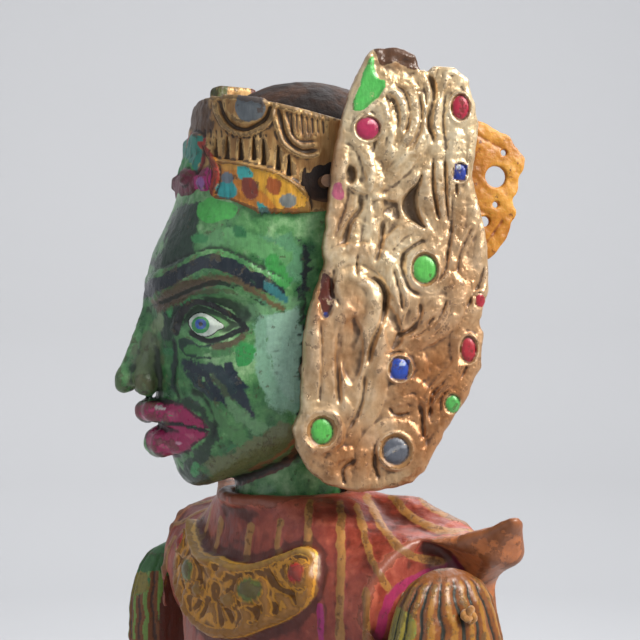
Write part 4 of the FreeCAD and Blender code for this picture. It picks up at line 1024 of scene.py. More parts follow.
for s in (1, -1):
    drop = 0 if s > 0 else 0.0
    j0 = 0
    fl = smin(rod(X, Y, Z, (s * 38, 12.5, 367.0), (s * 48, 13.6, 371.2), 5.0, 3.4), rod(X, Y, Z, (s * 48, 13.6, 371.2), (s * 55, 14.2, 376.8), 3.4, 0.7), 1.2)
    fl = smin(fl, rod(X, Y, Z, (s * 39.0, 7.0, 368.4), (s * 46.0, 10.2, 371.8), 2.4, 1.4), 2.5)
    fl = smin(fl, rod(X, Y, Z, (s * 46.0, 10.2, 371.8), (s * 54.8, 13.6, 376.9), 1.4, 0.6), 1.6)
    fl = smin(fl, rod(X, Y, Z, (s * 40, 17.0, 366.5), (s * 49, 17.4, 370.6), 4.2, 2.8), 2.0)
    fl = smin(fl, rod(X, Y, Z, (s * 49, 17.4, 370.6), (s * 54.4, 15.6, 376.2), 2.8, 0.7), 1.6)
    D = smin(D, fl, 2.5)
    cape = smin(rod(X, Y, Z, (s * 6, 12.5, 373.4), (s * 21, 15.2, 373.0), 4.4, 4.8), rod(X, Y, Z, (s * 21, 15.2, 373.0), (s * 34, 15.6, 369.6), 4.8, 5.2), 1.0)
    D = smin(D, cape, 5.0)
    rim = [(43.5, 1.0, 369.4), (43.0, -2.6, 368.2), (42.0, -4.9, 365.4), (41.5, -6.4, 361), (40.8, -7.6, 356), (40.4, -8, 349)]
    for a, b in zip(rim[:-1], rim[1:]):
        D = smin(D, rod(X, Y, Z, (s * a[0], a[1], a[2]), (s * b[0], b[1], b[2]), 1.3, 1.3), 1.0)
    pz = 362 - (0 if s > 0 else 8)
    D = smax(D, -np.maximum(np.sqrt((Y - 3.2) ** 2 + (Z - (pz - 1.8)) ** 2) - 11.9, 39.2 - s * X), 0.5)
    D = smax(D, 344.5 - 0.0 * X - Z - 60 * (ax < 36.5), 0.5) if False else D
neck = np.maximum(np.sqrt(X * X + Y * Y) - 12.2, 365.2 - Z)
D = smax(D, -neck, 0.5)
# standing collar: a thin rolled edge round the neck
D = smin(D, np.sqrt((np.sqrt(X * X + Y * Y) - 13.7) ** 2 + (Z - 377.2) ** 2) - 1.35, 1.5)
p, q = skin(D, lo, h, 2)
u, v = body_board(p[:, 0], p[:, 1], p[:, 2])
N = normals(p, q)
frontw = soft(-p[:, 1], -9, -1) * soft(N[:, 2] * 0.5 - N[:, 1], -0.3, 0.2)
COL = [(213, 527), (217, 545), (229, 558), (253, 565), (284, 557), (306, 549), (318, 552), (321, 570), (319, 588), (315, 600), (299, 615), (269, 629), (242, 638), (205, 636), (177, 626), (172, 608), (188, 593), (190, 572), (196, 547)]
c_sd = area(u, v, COL)
R = 2.1 * soft(c_sd, -1.5, 3.5) * frontw
for pts, w, k in (([(217, 548), (229.5, 562), (254, 569), (279, 561), (304, 553), (317, 556)], 5, 1.1), ([(224.5, 599), (229.5, 624)], 3, -1.3), ([(264, 607), (265.6, 619)], 3, -1.3), ([(282, 604), (283, 614)], 3, -1.2),
                  ([(244, 584), (234.5, 604), (240, 622)], 3.4, -1.4), ([(214, 576), (224, 590), (216, 606)], 3.4, -1.2), ([(276, 574), (284, 588), (300, 596)], 3, -1.2), ([(296, 592), (302, 606)], 3, -1.0),
                  ([(226, 578), (236, 572), (246, 574)], 4, .9), ([(205, 560), (206, 585), (204, 600)], 4, .9), ([(284, 570), (290, 566), (298, 562)], 3, .6), ([(250, 606), (256, 616), (250, 630)], 4, .9),
                  ([(186, 604), (200, 614), (214, 612)], 5, 1.0), ([(272, 596), (276, 610), (268, 622)], 4, .8), ([(192, 626), (216, 632), (242, 634), (270, 625), (300, 611)], 4, .9)):
    R = ridge(R, u, v, pts, w * 1.2, k)
BOSS = [(305, 575.6, 8, 10, 12.5, 14.5, (186, 40, 34)), (260.6, 590.5, 12, 11, 16.5, 15.5, (104, 112, 40)), (202, 602, 7, 8, 10, 11, (140, 26, 38)), (201, 584, 7, 6, 9, 8, (112, 112, 44)), (238, 600, 6, 5, 9, 8, (186, 140, 40))]
for sx, sy, a, b, ra, rb, _ in BOSS:
    ring_ = 1 - np.sqrt(((u - sx) / ra) ** 2 + ((v - sy) / rb) ** 2)
    core = 1 - np.sqrt(((u - sx) / a) ** 2 + ((v - sy) / b) ** 2)
    w = soft(ring_, -0.05, 0.1)
    R = R * (1 - w) + w * (2.6 + 0.5 * np.exp(-((ring_ - 0.12) / 0.12) ** 2)) * frontw
    R = R + 1.1 * np.sqrt(np.clip(core, 0, 1)) * frontw
Rl = R.copy()
R += 0.16 * vnoise(p, 3.0, 51) + 0.10 * vnoise(p, 1.2, 52)
# sewn-look carved lines down the jacket
STR = [([(251, 526), (247, 560)], 4.0), ([(280, 522), (278, 556)], 4.0), ([(310, 503), (307, 546)], 4.4), ([(340, 504), (341, 540), (340, 640)], 4.6), ([(357, 507), (373, 562), (388, 588)], 4.2),
       ([(367, 497), (386, 532), (410, 555), (446, 562)], 4.4), ([(393, 496), (410, 516), (438, 530), (470, 534)], 4.6), ([(418, 494), (434, 509), (470, 524)], 4.2), ([(226, 520), (220, 546)], 3.6),
       ([(366, 590), (367, 640)], 3.8), ([(320, 600), (322, 640)], 3.6)]
face = N[:, 0] * np.sign(p[:, 0]) * 0.839 - N[:, 1] * 0.545
R0 = R.copy()
for pts, w in STR:
    R0 = ridge(R0, u, v, pts, w, 0.22)
R = np.where(face > 0.0, R0, R)
NEAR = soft(-p[:, 1], -24, -6)
p = p + N * R[:, None]
hol = 0.8 * hollowness(p, q, 6) + 0.4 * hollowness(p, q, 20)
wv = 1.8 * vnoise(p, 1.8, 55)
P = Paint(len(p))
u0 = u
u = np.where(face > 0.02, u, -900.0)
c_sd = np.where(face > -0.25, c_sd, -9.0)
for pts, w in STR[:9] + STR[9:10]:
    P.add(stroke(u + wv, v, pts, w * 0.9), srgb(176, 122, 62))
P.add(stroke(u + wv, v, [(320, 606), (322, 640)], 3.4), srgb(170, 40, 110))
# the back and the lower body: plain painted stripes that spread from the neck
bx_, bz_ = p[:, 0], p[:, 2]
for k_ in (-3, -2, -1, 0, 1, 2, 3):
    P.add(np.where((face <= 0.02) & (p[:, 1] > 2) & (bz_ > 300), 3.2 - 4.9 * np.abs(bx_ + 0.4 * wv - k_ * (5.0 + 0.075 * (377 - bz_))), -9), srgb(176, 122, 62))
P.add(np.where((bz_ < 305) & (bz_ > 299.5), 1.5 + 0 * bz_, -9) + wv * 0.5, srgb(176, 122, 62))
P.add(stroke(u + wv * 0.6, v, [(512, 527), (494, 538), (476, 549), (462, 560), (441, 570), (419, 577), (397, 590), (387, 607), (377, 640)], 5), srgb(168, 46, 92))
P.add(area(u + wv, v, [(453, 556), (472, 556), (470, 570), (452, 570)]), srgb(176, 40, 96))
P.add(stroke(u + wv, v, [(508, 528), (514, 542), (504, 572)], 5), srgb(222, 196, 150))
P.add(np.where(np.abs(p[:, 0]) > 41.0, 3.0, -9), srgb(188, 112, 62))
P.add(np.where(frontw > 0.25, c_sd + 0.5, -9), srgb(208, 142, 36))
for pts, w in (([(217, 548), (229.5, 562), (254, 569), (279, 561), (304, 553), (317, 556)], 4),):
    P.add(np.where(frontw > 0.25, stroke(u, v, pts, w), -9), srgb(232, 178, 64))
for sx, sy, a, b, ra, rb, c in BOSS:
    P.add(np.where(frontw > 0.25, disc(u, v, sx, sy, a, b), -9), srgb(*c))
u = u0
JT = [(0.26, srgb(64, 22, 16)), (0.42, srgb(108, 40, 28)), (0.54, srgb(142, 58, 42)), (0.66, srgb(170, 80, 60)), (0.80, srgb(198, 112, 88))]
m_jacket = painted("jacket_red", JT, wood=srgb(110, 66, 40), cav=srgb(62, 24, 12), rough=(0.32, 0.55), scale=110, cav_k=0.85, chip_k=0.6, high=srgb(190, 100, 74), spec=0.5, edge_noise=0.7, grain=0.7, wear_k=0.22)
jacket = mesh_piece("jacket", p, q, m_jacket, {"hollow": hol, "psd": P.sd}, {"pcol": P.col})
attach(jacket, "torso")
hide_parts("torso")

# ================================================================== arms
def gold_band(u0, u1, z):
    return np.minimum(z - u0, u1 - z)


ARM = [(283, 0, 5.3, 5.35), (296, 0, 5.4, 5.7), (312, 0, 5.6, 6.6), (330, 0, 6, 7.7), (347, 0, 5.9, 7.9)]
DOME = [(345.6, 0, 6.6, 12.2), (351, 0, 6.6, 12.2), (356.3, 0, 6.5, 12), (360.5, 0, 6, 10.9), (363.7, 0, 5.3, 9.7), (366.5, 0, 4.2, 7.6), (368.2, 0, 2.7, 4.9), (369.2, 0, 1.2, 2.2)]
FORE = [(186.5, -.8, 1.7, 2.8), (194, -.4, 2.6, 5.4), (203, 0, 3.1, 7.2), (211, 0, 3.4, 7.6), (220, 0, 3.9, 6.8), (228, 0, 4.2, 5.2), (236, 0, 4.3, 4.9), (252, 0, 5.2, 6), (268, 0, 5, 5.6), (275.4, 0, 4.4, 4.2)]
AT = [(0.28, srgb(14, 58, 32)), (0.43, srgb(30, 96, 50)), (0.54, srgb(48, 124, 66)), (0.66, srgb(82, 152, 88)), (0.80, srgb(134, 188, 130))]
m_arm = painted("arm_green", AT, wood=srgb(100, 84, 50), cav=srgb(12, 30, 20), rough=(0.28, 0.52), scale=130, chip_k=0.6, spec=0.5, grain=0.7, coat=0.25, wear_k=0.4)
for side, s, low in (("left", 1, 0.0), ("right", -1, 8.0)):
    h = 0.36
    lo = np.array([-9.0, -15.0, 275.0])
    X, Y, Z = space(lo, (9, 16, 371), h)
    D = ell(X, Y, Z, ARM)
    dome = ell(X, Y, Z, DOME)
    D = smin(D, dome, 0.8)
    # elbow cheeks, round in side view, with the slot between them
    D = smin(D, smax(np.sqrt(Y * Y + (Z - 283) ** 2) - 5.35, np.abs(X) - 5.25, 0.6), 0.8)
    D = smax(D, -smax(np.abs(X) - 2.25, Z - 289.2, 0.3), 0.3)
    p, q = skin(D, lo, h, 2)
    N = normals(p, q)
    x, y, z = p.T
    ang = np.arctan2(x / 6.6, -y / 12.2)
    R = np.zeros(len(p))
    outer = soft(s * x, -2.0, 0.5)
    fl = soft(z, 346.0, 348.5) * soft(-z, -369.5, -363.5)
    flute = np.abs(np.sin(ang * 8.5 + 0.9 * vnoise(p, 6, 61) + 0.4 * vnoise(p, 2.5, 67)))
    R += fl * 0.8 * (flute ** 0.6 - 0.76)
    lip_ = np.exp(-((z - 347.2) / 1.3) ** 2)
    R += 0.35 * lip_
    for zz, wd, k in ((338.5, 1.5, .75), (334.6, 1.1, .6), (342.5, 1.0, .5), (292.6, 1.6, .55), (296.2, 0.9, .4)):
        R += k * np.sqrt(np.clip(1 - ((z - zz) / wd) ** 2, 0, 1))
    R += 0.5 * np.clip(1 - np.sqrt((y / 4.2) ** 2 + ((z - 331) / 6.5) ** 2), 0, 1) ** 0.5 * outer
    R += 0.14 * vnoise(p, 2.4, 62) + 0.07 * vnoise(p, 1.0, 63)
    keep = soft(np.hypot(y, z - 283), 4.8, 8.0)         # the elbow itself keeps its fit
    inner = np.where((s * x < 0) & (z > 344), 0.25, 1.0)
    p = p + N * (R * keep * inner)[:, None]
    hol = 0.9 * hollowness(p, q, 5) + 0.5 * hollowness(p, q, 18)
    P = Paint(len(p))
    wv = 0.35 * vnoise(p, 1.4, 64)
    px = 4.9
    for z0, z1 in ((337.0, 340.1), (333.6, 335.7), (341.5, 343.5), (291.0, 294.2), (295.3, 297.1)):
        P.add(gold_band(z0, z1, z + wv) * px, srgb(196, 142, 52))
    P.add(disc(y * px, z * px, 0, 331 * px, 3.9 * px, 6.0 * px), srgb(190, 134, 50))
    P.add(disc(y * px, z * px, 0, 331 * px, 1.7 * px, 2.2 * px), srgb(160, 34, 44))
    P.add(gold_band(326.4, 327.6, z + wv) * px, srgb(130, 40, 34))
    P.add((z + wv - 346.0) * px, srgb(128, 72, 24))
    # painted shade in the flute grooves and painted highlight on the flute tops; on the right arm the tops are also its
    # green paint
    groove = (0.30 - flute) * fl * 14
    P.add(np.where(fl > 0.3, groove, -9), srgb(76, 44, 26))
    P.add(np.where(fl > 0.3, (flute - 0.88) * 40, -9), srgb(160, 108, 34) if s > 0 else srgb(120, 156, 70))
    P.add(disc(ang * 30 + 6 * vnoise(p, 4, 65), z * px, -4, 360 * px, 22, 16) * 0.4, srgb(140, 126, 44))
    if s < 0:
        P.add((z - 362.5 + 2 * vnoise(p, 3, 66)) * px * 0.6, srgb(56, 110, 52))
    P.add(np.where((s * x < -5.2) & (z > 344), 4.0, -9), srgb(96, 44, 30))
    off = np.array([s * 51.7, 0.5, -low])
    arm = mesh_piece("arm_" + side, p + off, q, m_arm, {"hollow": hol, "psd": P.sd}, {"pcol": P.col})
    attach(arm, "upper_arm_" + side)
    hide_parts("upper_arm_" + side)

    # forearm and hand
    h = 0.32
    lo = np.array([-8.0, -14.0, 184.0])
    X, Y, Z = space(lo, (8, 11, 290), h)
    D = ell(X, Y, Z, FORE)
    tongue = smax(np.sqrt(Y * Y + (Z - 283) ** 2) - 5.25, np.abs(X) - 1.95, 0.3)
    nk = smax(smax(np.abs(X) - 1.95, np.abs(Y) - 3.9, 0.5), np.abs(Z - 277.5) - 4.0, 0.4)
    D = smin(D, np.minimum(tongue, nk), 0.5)
    D = smin(D, rod(X, Y, Z, (0, -4.4, 218.0), (0, -9.2, 208.6), 2.2, 1.9), 1.2)
    D = smin(D, rod(X, Y, Z, (0, -9.2, 208.6), (0.0, -9.9, 204.4), 1.85, 1.2), 0.8)
    # fingers, a little curled towards the palm (inwards)
    for k, (yy, ln, bend) in enumerate(((-4.2, 13.5, .0), (-1.4, 16.0, 0.4), (1.4, 15.5, .8), (4.1, 12.0, 1.2))):
        a, b, c = (0, yy, 204), (-s * 0.5, yy * 0.85 - .4, 204 - ln * .55), (-s * 1.6, yy * 0.55 - .6, 204 - ln)
        D = smin(D, rod(X, Y, Z, a, b, 2.1, 1.75), 0.35)
        D = smin(D, rod(X, Y, Z, b, c, 1.75, 1.05), 0.35)
    for yy in (-2.8, 0.0, 2.8):
        D = smax(D, -smax(np.abs(Y - yy * (1 - (204 - Z) * 0.018)) - 0.16, Z - 206.5, 0.3), 0.35)
    D = smax(D, 186.6 - Z, 0.5)
    # bore for the cord that ties on the hand rod
    D = smax(D, -(np.sqrt(Y * Y + (Z - 213) ** 2) - 0.95), 0.2)
    p, q = skin(D, lo, h, 2)
    N = normals(p, q)
    x, y, z = p.T
    R = np.zeros(len(p))
    for zz, wd, k in ((233.6, 1.7, 1.5), (237.0, 0.9, .6), (230.4, 0.9, .6)):
        R += k * np.sqrt(np.clip(1 - ((z - zz) / wd) ** 2, 0, 1))
    R += 0.10 * vnoise(p, 2.0, 72) + 0.05 * vnoise(p, 0.9, 73)
    kp = soft(-z, -274.5, -271)
    p = p + N * (R * kp)[:, None]
    hol = 0.9 * hollowness(p, q, 5) + 0.4 * hollowness(p, q, 16)
    P = Paint(len(p))
    wv = 0.3 * vnoise(p, 1.4, 74)
    for z0, z1 in ((231.7, 235.4), (236.2, 237.8), (229.5, 231.2)):
        P.add(gold_band(z0, z1, z + wv) * px, srgb(196, 142, 52))
    for k, zz in enumerate((188.4, 189.9, 190.4, 193.4)):
        P.add(disc(y * px, z * px, (2.0, .6, -1.4, -2.9)[k] * px, zz * px, 0.9 * px, 1.3 * px), srgb(176, 60, 70))
    P.add((z - 272.5) * px, srgb(120, 92, 58))
    fo = mesh_piece("forearm_" + side, p + off, q, m_arm, {"hollow": hol, "psd": P.sd}, {"pcol": P.col})
    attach(fo, "forearm_" + side)
    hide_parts("forearm_hand_" + side)

# ================================================================== crest of cut hide
CREST = [(16.5, 448.6), (24.5, 450.0), (30.0, 454.0), (36.0, 457.2), (41.0, 456.0), (45.3, 454.5), (48.0, 452.6), (50.0, 450.6), (51.2, 448.4), (50.6, 445.0), (48.6, 439.5), (49.2, 437.2),
         (48.2, 433.4), (45.6, 428.6), (41.0, 425.0), (34.0, 423.6), (28.0, 426.5), (24.5, 430.6), (16.5, 430.6)]
h = 0.3
Xc, Yc, Zc = np.arange(-2.2, 2.5, h), np.arange(15.5, 52.5, h), np.arange(422.5, 458.6, h)
YY, ZZ = np.meshgrid(Yc, Zc, indexing="ij")
yy, zz = YY.ravel(), ZZ.ravel()
pp = np.stack([yy, zz, 0 * yy], 1)
e2 = area(yy, zz, CREST, smooth=False)
e2 = e2 + 0.45 * np.sin(np.arctan2(zz - 440, yy - 36) * 17) * soft(yy, 30, 36) * (e2 < 3) * 0.5 + 0.25 * vnoise(pp, 1.6, 81)
for cy_, cz_, rr in ((44.7, 444.2, 2.3), (38.0, 450.6, 1.0), (42.2, 434.6, 1.1), (36.8, 430.2, 0.9), (46.6, 449.4, 0.7), (44.6, 438.2, 0.7)):
    e2 = np.minimum(e2, np.hypot(yy - cy_, zz - cz_) - rr)
rel = 0.28 * vnoise(pp, 3.4, 82) + 0.14 * vnoise(pp, 1.2, 83)
for pts in ([(24, 447), (31, 451), (38, 453.6), (46, 450.4)], [(26, 433), (33, 427.6), (41, 429), (46, 434.6)], [(24, 440), (32, 441), (38, 446), (41, 450)], [(30, 436), (37, 438.5), (43, 436)]):
    d, t = line_dist(yy, zz, spline(pts, 6), 3)
    rel -= 0.34 * np.clip(1 - d / 0.7, 0, 1)
warp = (0.5 * np.sin((zz - 424) / 9.0) * soft(yy, 24, 46)).reshape(YY.shape)
half_t = (0.78 + rel).reshape(YY.shape)
D = smax(np.abs(Xc[:, None, None] - warp[None]) - np.clip(half_t, 0.35, 1.0)[None], -e2.reshape(YY.shape)[None], 0.35)
p, q = skin(D, (-2.2, 15.5, 422.5), h, 1)
hol = hollowness(p, q, 10)
n = Nodes("hide")
v1 = n.noise(95, 6, 0.6)
c = n.ramp(v1, [(0.28, srgb(130, 74, 22)), (0.45, srgb(184, 118, 34)), (0.60, srgb(214, 152, 56)), (0.78, srgb(232, 190, 100))])
c = n.mix(n.step(n.attr("hollow"), 0.0, -0.12), c, srgb(140, 74, 22))
c = n.mix(n.step(n.noise(330, 6, 0.7, off=5), 0.60, 0.66), c, srgb(110, 60, 24))
n.done(c, n.lerp(v1, 0.32, 0.55, 0.3, 0.7), 0.0, n.bump(n.noise(700, 5), 0.0003, 0.8))
n.b.inputs["Subsurface Weight"].default_value = 0.25
n.b.inputs["Subsurface Radius"].default_value = (0.004, 0.0015, 0.0005)
crest = mesh_piece("crest", to_world(p), q, n.m, {"hollow": hol})
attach(crest, "rod_head")
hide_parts("back_crest")


# ================================================================== cloth
def grid_quads(nu, nv, base=0):
    """Quads of a grid closed in u (nu columns) and open in v (nv rows)."""
    i, j = np.meshgrid(np.arange(nu), np.arange(nv - 1), indexing="ij")
    a = i * nv + j
    b = ((i + 1) % nu) * nv + j
    return np.stack([a, b, b + 1, a + 1], -1).reshape(-1, 4) + base


def corner_attr(me, key, vals):
    a = me.attributes.new(key, "FLOAT", "CORNER")
    a.data.foreach_set("value", np.asarray(vals, np.float32))


SK = np.array([(72.0, 39.5, 38.0), (110.0, 38.6, 37.2), (150.0, 37.2, 35.6), (200.0, 34.4, 32.2), (250.0, 31.0, 27.0), (275.0, 28.9, 23.6), (292.0, 28.4, 22.4)])
nu, nv = 400, 96
th = np.linspace(0, 2 * np.pi, nu, endpoint=False)[:, None]
zz = np.linspace(292.0, 72.0, nv)[None, :]
t = (292 - zz) / 220
a, b = np.interp(zz, SK[:, 0], SK[:, 1]) - 0.6, np.interp(zz, SK[:, 0], SK[:, 2]) - 0.6
ph = 0.5 * np.sin(2 * th + 1.3) + 0.35 * np.sin(5 * th + 0.4) + 0.5 * t * np.sin(3 * th + 2.0)
low_f = np.cos(17 * th + ph * 2.2) + 0.35 * np.cos(29 * th + 3 * ph + 1.0)
low_f = np.sign(low_f) * np.abs(low_f) ** 0.8
top_f = np.cos(34 * th + 2 * ph) + 0.4 * np.cos(51 * th + 1.1)
fold = 0.42 * top_f * (1 - soft(t, 0.1, 0.55)) + 2.1 * low_f * soft(t, 0.04, 0.9) ** 0.9
mask = soft(13.5 - np.abs(a * np.cos(th)), 0, 2.0) * (np.sin(th) < 0) * soft(zz, 176, 190)
fold = fold * (1 - mask) + (np.minimum(fold, 0) * 0.3 - 0.5) * mask
fold = fold + 0.25 * np.sin(zz / 7.0 + 3 * np.sin(3 * th)) * soft(t, 0.1, 0.4)
zf = zz - 0.9 * t * np.sin(17 * th + ph * 2.2 + 0.8) * soft(t, 0.8, 1.0) + 1.0 * soft(t, 0.9, 1.0)
rad = np.stack([a * np.cos(th) * (1 + fold / a), b * np.sin(th) * (1 + fold / b), zf + 0 * th], -1)
P0 = rad.reshape(-1, 3)
Q0 = grid_quads(nu, nv)
N0 = normals(P0, Q0)
cen = P0.copy()
cen[:, 2] = 0
flip = np.einsum("ij,ij->i", N0, cen).mean() < 0
if flip:
    Q0, N0 = Q0[:, ::-1], -N0
thick = 0.55
hem = 0.25 * soft(-(P0[:, 2]), -79.0, -78.0)
PT = np.vstack([P0 + N0 * (thick / 2 + hem)[:, None], P0 - N0 * (thick / 2 + hem)[:, None]])
m0 = len(P0)
rim_q = []
i = np.arange(nu)
for row in (0, nv - 1):
    A, B = i * nv + row, ((i + 1) % nu) * nv + row
    e = np.stack([A, B, B + m0, A + m0], 1)
    rim_q.append(e if (row == 0) else e[:, ::-1])
Q = np.vstack([Q0, Q0[:, ::-1] + m0] + rim_q)


def cloth_mat(name, ground, a_col, b_col, c_col, per, hem_v=None):
    """Woven cloth with a printed lattice. cu and cv are the places on the flat cloth, in repeats."""
    n = Nodes(name)
    cu, cv = n.attr("cu"), n.attr("cv")
    s1 = n.math("SINE", n.math("MULTIPLY", n.math("ADD", cu, cv), math.pi))
    s2 = n.math("SINE", n.math("MULTIPLY", n.math("SUBTRACT", cu, cv), math.pi))
    lat = n.math("MULTIPLY", n.math("ABSOLUTE", s1), n.math("ABSOLUTE", s2))
    wob = n.math("MULTIPLY", n.math("SUBTRACT", n.noise(260, 3), 0.5), 0.12)
    lat = n.math("ADD", lat, wob)
    col = n.mix(n.step(lat, 0.10, 0.20), a_col, ground)
    col = n.mix(n.math("MULTIPLY", n.step(lat, 0.50, 0.56), n.math("SUBTRACT", 1.0, n.step(lat, 0.72, 0.78))), col, b_col)
    col = n.mix(n.step(lat, 0.86, 0.92), col, c_col)
    if hem_v is not None:
        band = n.math("MULTIPLY", n.step(cv, hem_v[0], hem_v[0] + 0.06), n.math("SUBTRACT", 1.0, n.step(cv, hem_v[1], hem_v[1] + 0.06)))
        saw = n.math("ABSOLUTE", n.math("SINE", n.math("MULTIPLY", cu, math.pi * 2)))
        tri = n.step(n.math("SUBTRACT", n.math("MULTIPLY", n.math("SUBTRACT", cv, hem_v[0]), 1.0 / (hem_v[1] - hem_v[0])), saw), -0.05, 0.05)
        col = n.mix(band, col, n.mix(tri, b_col, c_col))
        col = n.mix(n.step(cv, hem_v[1] + 0.25, hem_v[1] + 0.31), col, a_col)
    darkening = n.noise(40, 5, 0.6)
    col = n.mix(n.lerp(darkening, 0.0, 0.35, 0.4, 0.75), col, tuple(x * 0.5 for x in ground))
    warp = n.math("SINE", n.math("MULTIPLY", cu, per * 2 * math.pi))
    weft = n.math("SINE", n.math("MULTIPLY", cv, per * 2 * math.pi))
    weave = n.math("MULTIPLY", warp, weft)
    nrm = n.bump(n.math("MULTIPLY_ADD", n.noise(1200, 3), 0.8, weave), 0.00018, 0.6)
    n.done(col, 0.86, 0.0, nrm)
    n.b.inputs["Sheen Weight"].default_value = 0.25
    n.b.inputs["Sheen Roughness"].default_value = 0.5
    n.b.inputs["Specular IOR Level"].default_value = 0.25
    return n.m


m_skirt = cloth_mat("skirt_print", srgb(78, 44, 26), srgb(214, 188, 140), srgb(196, 146, 80), srgb(34, 44, 78), 14, (31.2, 34.0))
skirt = mesh_piece("skirt_cloth", PT, Q, m_skirt)
lu = np.repeat(np.arange(nu) / nu, nv)
li = np.array([0] * (len(skirt.data.loops)), np.int32)
skirt.data.loops.foreach_get("vertex_index", li)
cu = np.tile(np.repeat(np.arange(nu), nv), 2)[li].astype(float)
cuq = cu.reshape(-1, 4)
wrap = (cuq.max(1) - cuq.min(1)) > nu / 2
cuq[wrap] = np.where(cuq[wrap] < nu / 2, cuq[wrap] + nu, cuq[wrap])
corner_attr(skirt.data, "cu", cuq.ravel() / nu * 36)
cvv = np.tile(np.tile(np.arange(nv), nu), 2)[li] / (nv - 1) * 36
corner_attr(skirt.data, "cv", cvv)
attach(skirt, "torso")
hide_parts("skirt")

# ---- waist sash: a folded strip wound flat round the waist
nu, nv = 300, 40
th = np.linspace(0, 2 * np.pi, nu, endpoint=False)[:, None]
s_ = np.linspace(0, 1, nv, endpoint=False)[None, :]
up = np.where(s_ < 0.5, 1 - s_ * 4, s_ * 4 - 3)                 # +1 top, -1 bottom
zc = 290.0 + 6.6 * np.sign(up) * np.abs(up) ** 0.9 + 0 * th
outer = (s_ < 0.5)
wav = np.abs(np.sin((zc - 283) * math.pi / 3.1 + 0.9 * np.sin(th) + 0.5 * np.sin(3 * th + 1)))
edge_in = np.clip((1 - np.abs(up)) * 5, 0, 1) ** 0.5
rr_o = -0.55 + (0.35 + 0.75 * wav ** 0.6) * edge_in
ra = np.where(outer, 30.6 + rr_o, 29.15 + 0.25 * (1 - edge_in))
rb = np.where(outer, 24.8 + rr_o, 23.3 + 0.25 * (1 - edge_in))
Ps = np.stack([ra * np.cos(th), rb * np.sin(th), zc], -1).reshape(-1, 3)
i, j = np.meshgrid(np.arange(nu), np.arange(nv), indexing="ij")
A = i * nv + j
B = ((i + 1) % nu) * nv + j
C = ((i + 1) % nu) * nv + (j + 1) % nv
Dq = i * nv + (j + 1) % nv
Qs = np.stack([A, Dq, C, B], -1).reshape(-1, 4)
if np.einsum("ij,ij->i", normals(Ps, Qs), Ps * [1, 1, 0])[(np.arange(nv)[None, :] < nv // 2).repeat(nu, 0).ravel()].mean() < 0:
    Qs = Qs[:, ::-1]
Ps = smooth(Ps, Qs, 1, 0.3)
m_sash = cloth_mat("sash_weave", srgb(112, 20, 34), srgb(150, 40, 44), srgb(196, 150, 70), srgb(176, 120, 52), 6)
sash = mesh_piece("sash_band", Ps, Qs, m_sash)
li = np.zeros(len(sash.data.loops), np.int32)
sash.data.loops.foreach_get("vertex_index", li)
cuq = (li // nv).astype(float).reshape(-1, 4)
wrap = (cuq.max(1) - cuq.min(1)) > nu / 2
cuq[wrap] = np.where(cuq[wrap] < nu / 2, cuq[wrap] + nu, cuq[wrap])
corner_attr(sash.data, "cu", cuq.ravel() / nu * 60)
corner_attr(sash.data, "cv", (Ps[li][:, 2] - 280) / 3.0)
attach(sash, "torso")
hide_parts("waist_sash")

# ---- its two ends hang down the front
PATH = np.array([(-24.9, 283.4), (-26.1, 265.0), (-27.7, 250.0), (-30.3, 225.0), (-32.9, 200.0), (-34.0, 190.0)])
fringe_obs = []
for name, x0 in (("a", -10.6), ("b", 1.2)):
    nu, nv = 40, 90
    U = np.linspace(0, 1, nu)[:, None]
    V = np.linspace(0, 1, nv)[None, :]
    zc = 283.4 + (190.0 - 283.4) * V
    yc = np.interp(-zc, -PATH[:, 1], PATH[:, 0])
    rip = 0.45 * np.cos(2 * np.pi * (U * 2.1 + 0.2 * np.sin(V * 5 + x0))) * (0.6 + 0.6 * V)
    X0 = x0 + 9.4 * U + 0.35 * np.sin(V * 9 + x0) + (U - 0.5) * 0.8 * V
    Y0 = yc - 0.85 + rip
    Pm = np.stack([X0 + 0 * V, Y0, zc + 0 * U], -1).reshape(-1, 3)
    i, j = np.meshgrid(np.arange(nu - 1), np.arange(nv - 1), indexing="ij")
    A = (i * nv + j)
    q0 = np.stack([A, A + nv, A + nv + 1, A + 1], -1).reshape(-1, 4)
    n0 = normals(Pm, q0)
    if n0[:, 1].mean() > 0:
        q0, n0 = q0[:, ::-1], -n0
    ps = np.vstack([Pm + n0 * 0.25, Pm - n0 * 0.25])
    m0 = len(Pm)
    bd = np.concatenate([np.arange(nu) * nv, (nu - 1) * nv + np.arange(1, nv), (nu - 2 - np.arange(nu - 1)) * nv + nv - 1, nv - 2 - np.arange(nv - 2)])
    nx = np.roll(bd, -1)
    rimq = np.stack([bd, nx, nx + m0, bd + m0], 1)
    qs = np.vstack([q0, q0[:, ::-1] + m0, rimq])
    o = mesh_piece("sash_end_" + name, ps, qs, m_sash)
    o.data.validate()
    bmx = bmesh.new()
    bmx.from_mesh(o.data)
    bmesh.ops.recalc_face_normals(bmx, faces=bmx.faces)
    bmx.to_mesh(o.data)
    bmx.free()
    li = np.zeros(len(o.data.loops), np.int32)
    o.data.loops.foreach_get("vertex_index", li)
    uu_ = np.tile(np.repeat(np.linspace(0, 1, nu), nv), 2)[li]
    vv_ = np.tile(np.tile(np.linspace(0, 1, nv), nu), 2)[li]
    corner_attr(o.data, "cu", uu_ * 3)
    corner_attr(o.data, "cv", vv_ * 31)
    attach(o, "torso")
    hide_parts("sash_ends")
    fringe_obs.append((name, o, X0[:, -1] if X0.shape[1] > 1 else X0, Y0[:, -1]))


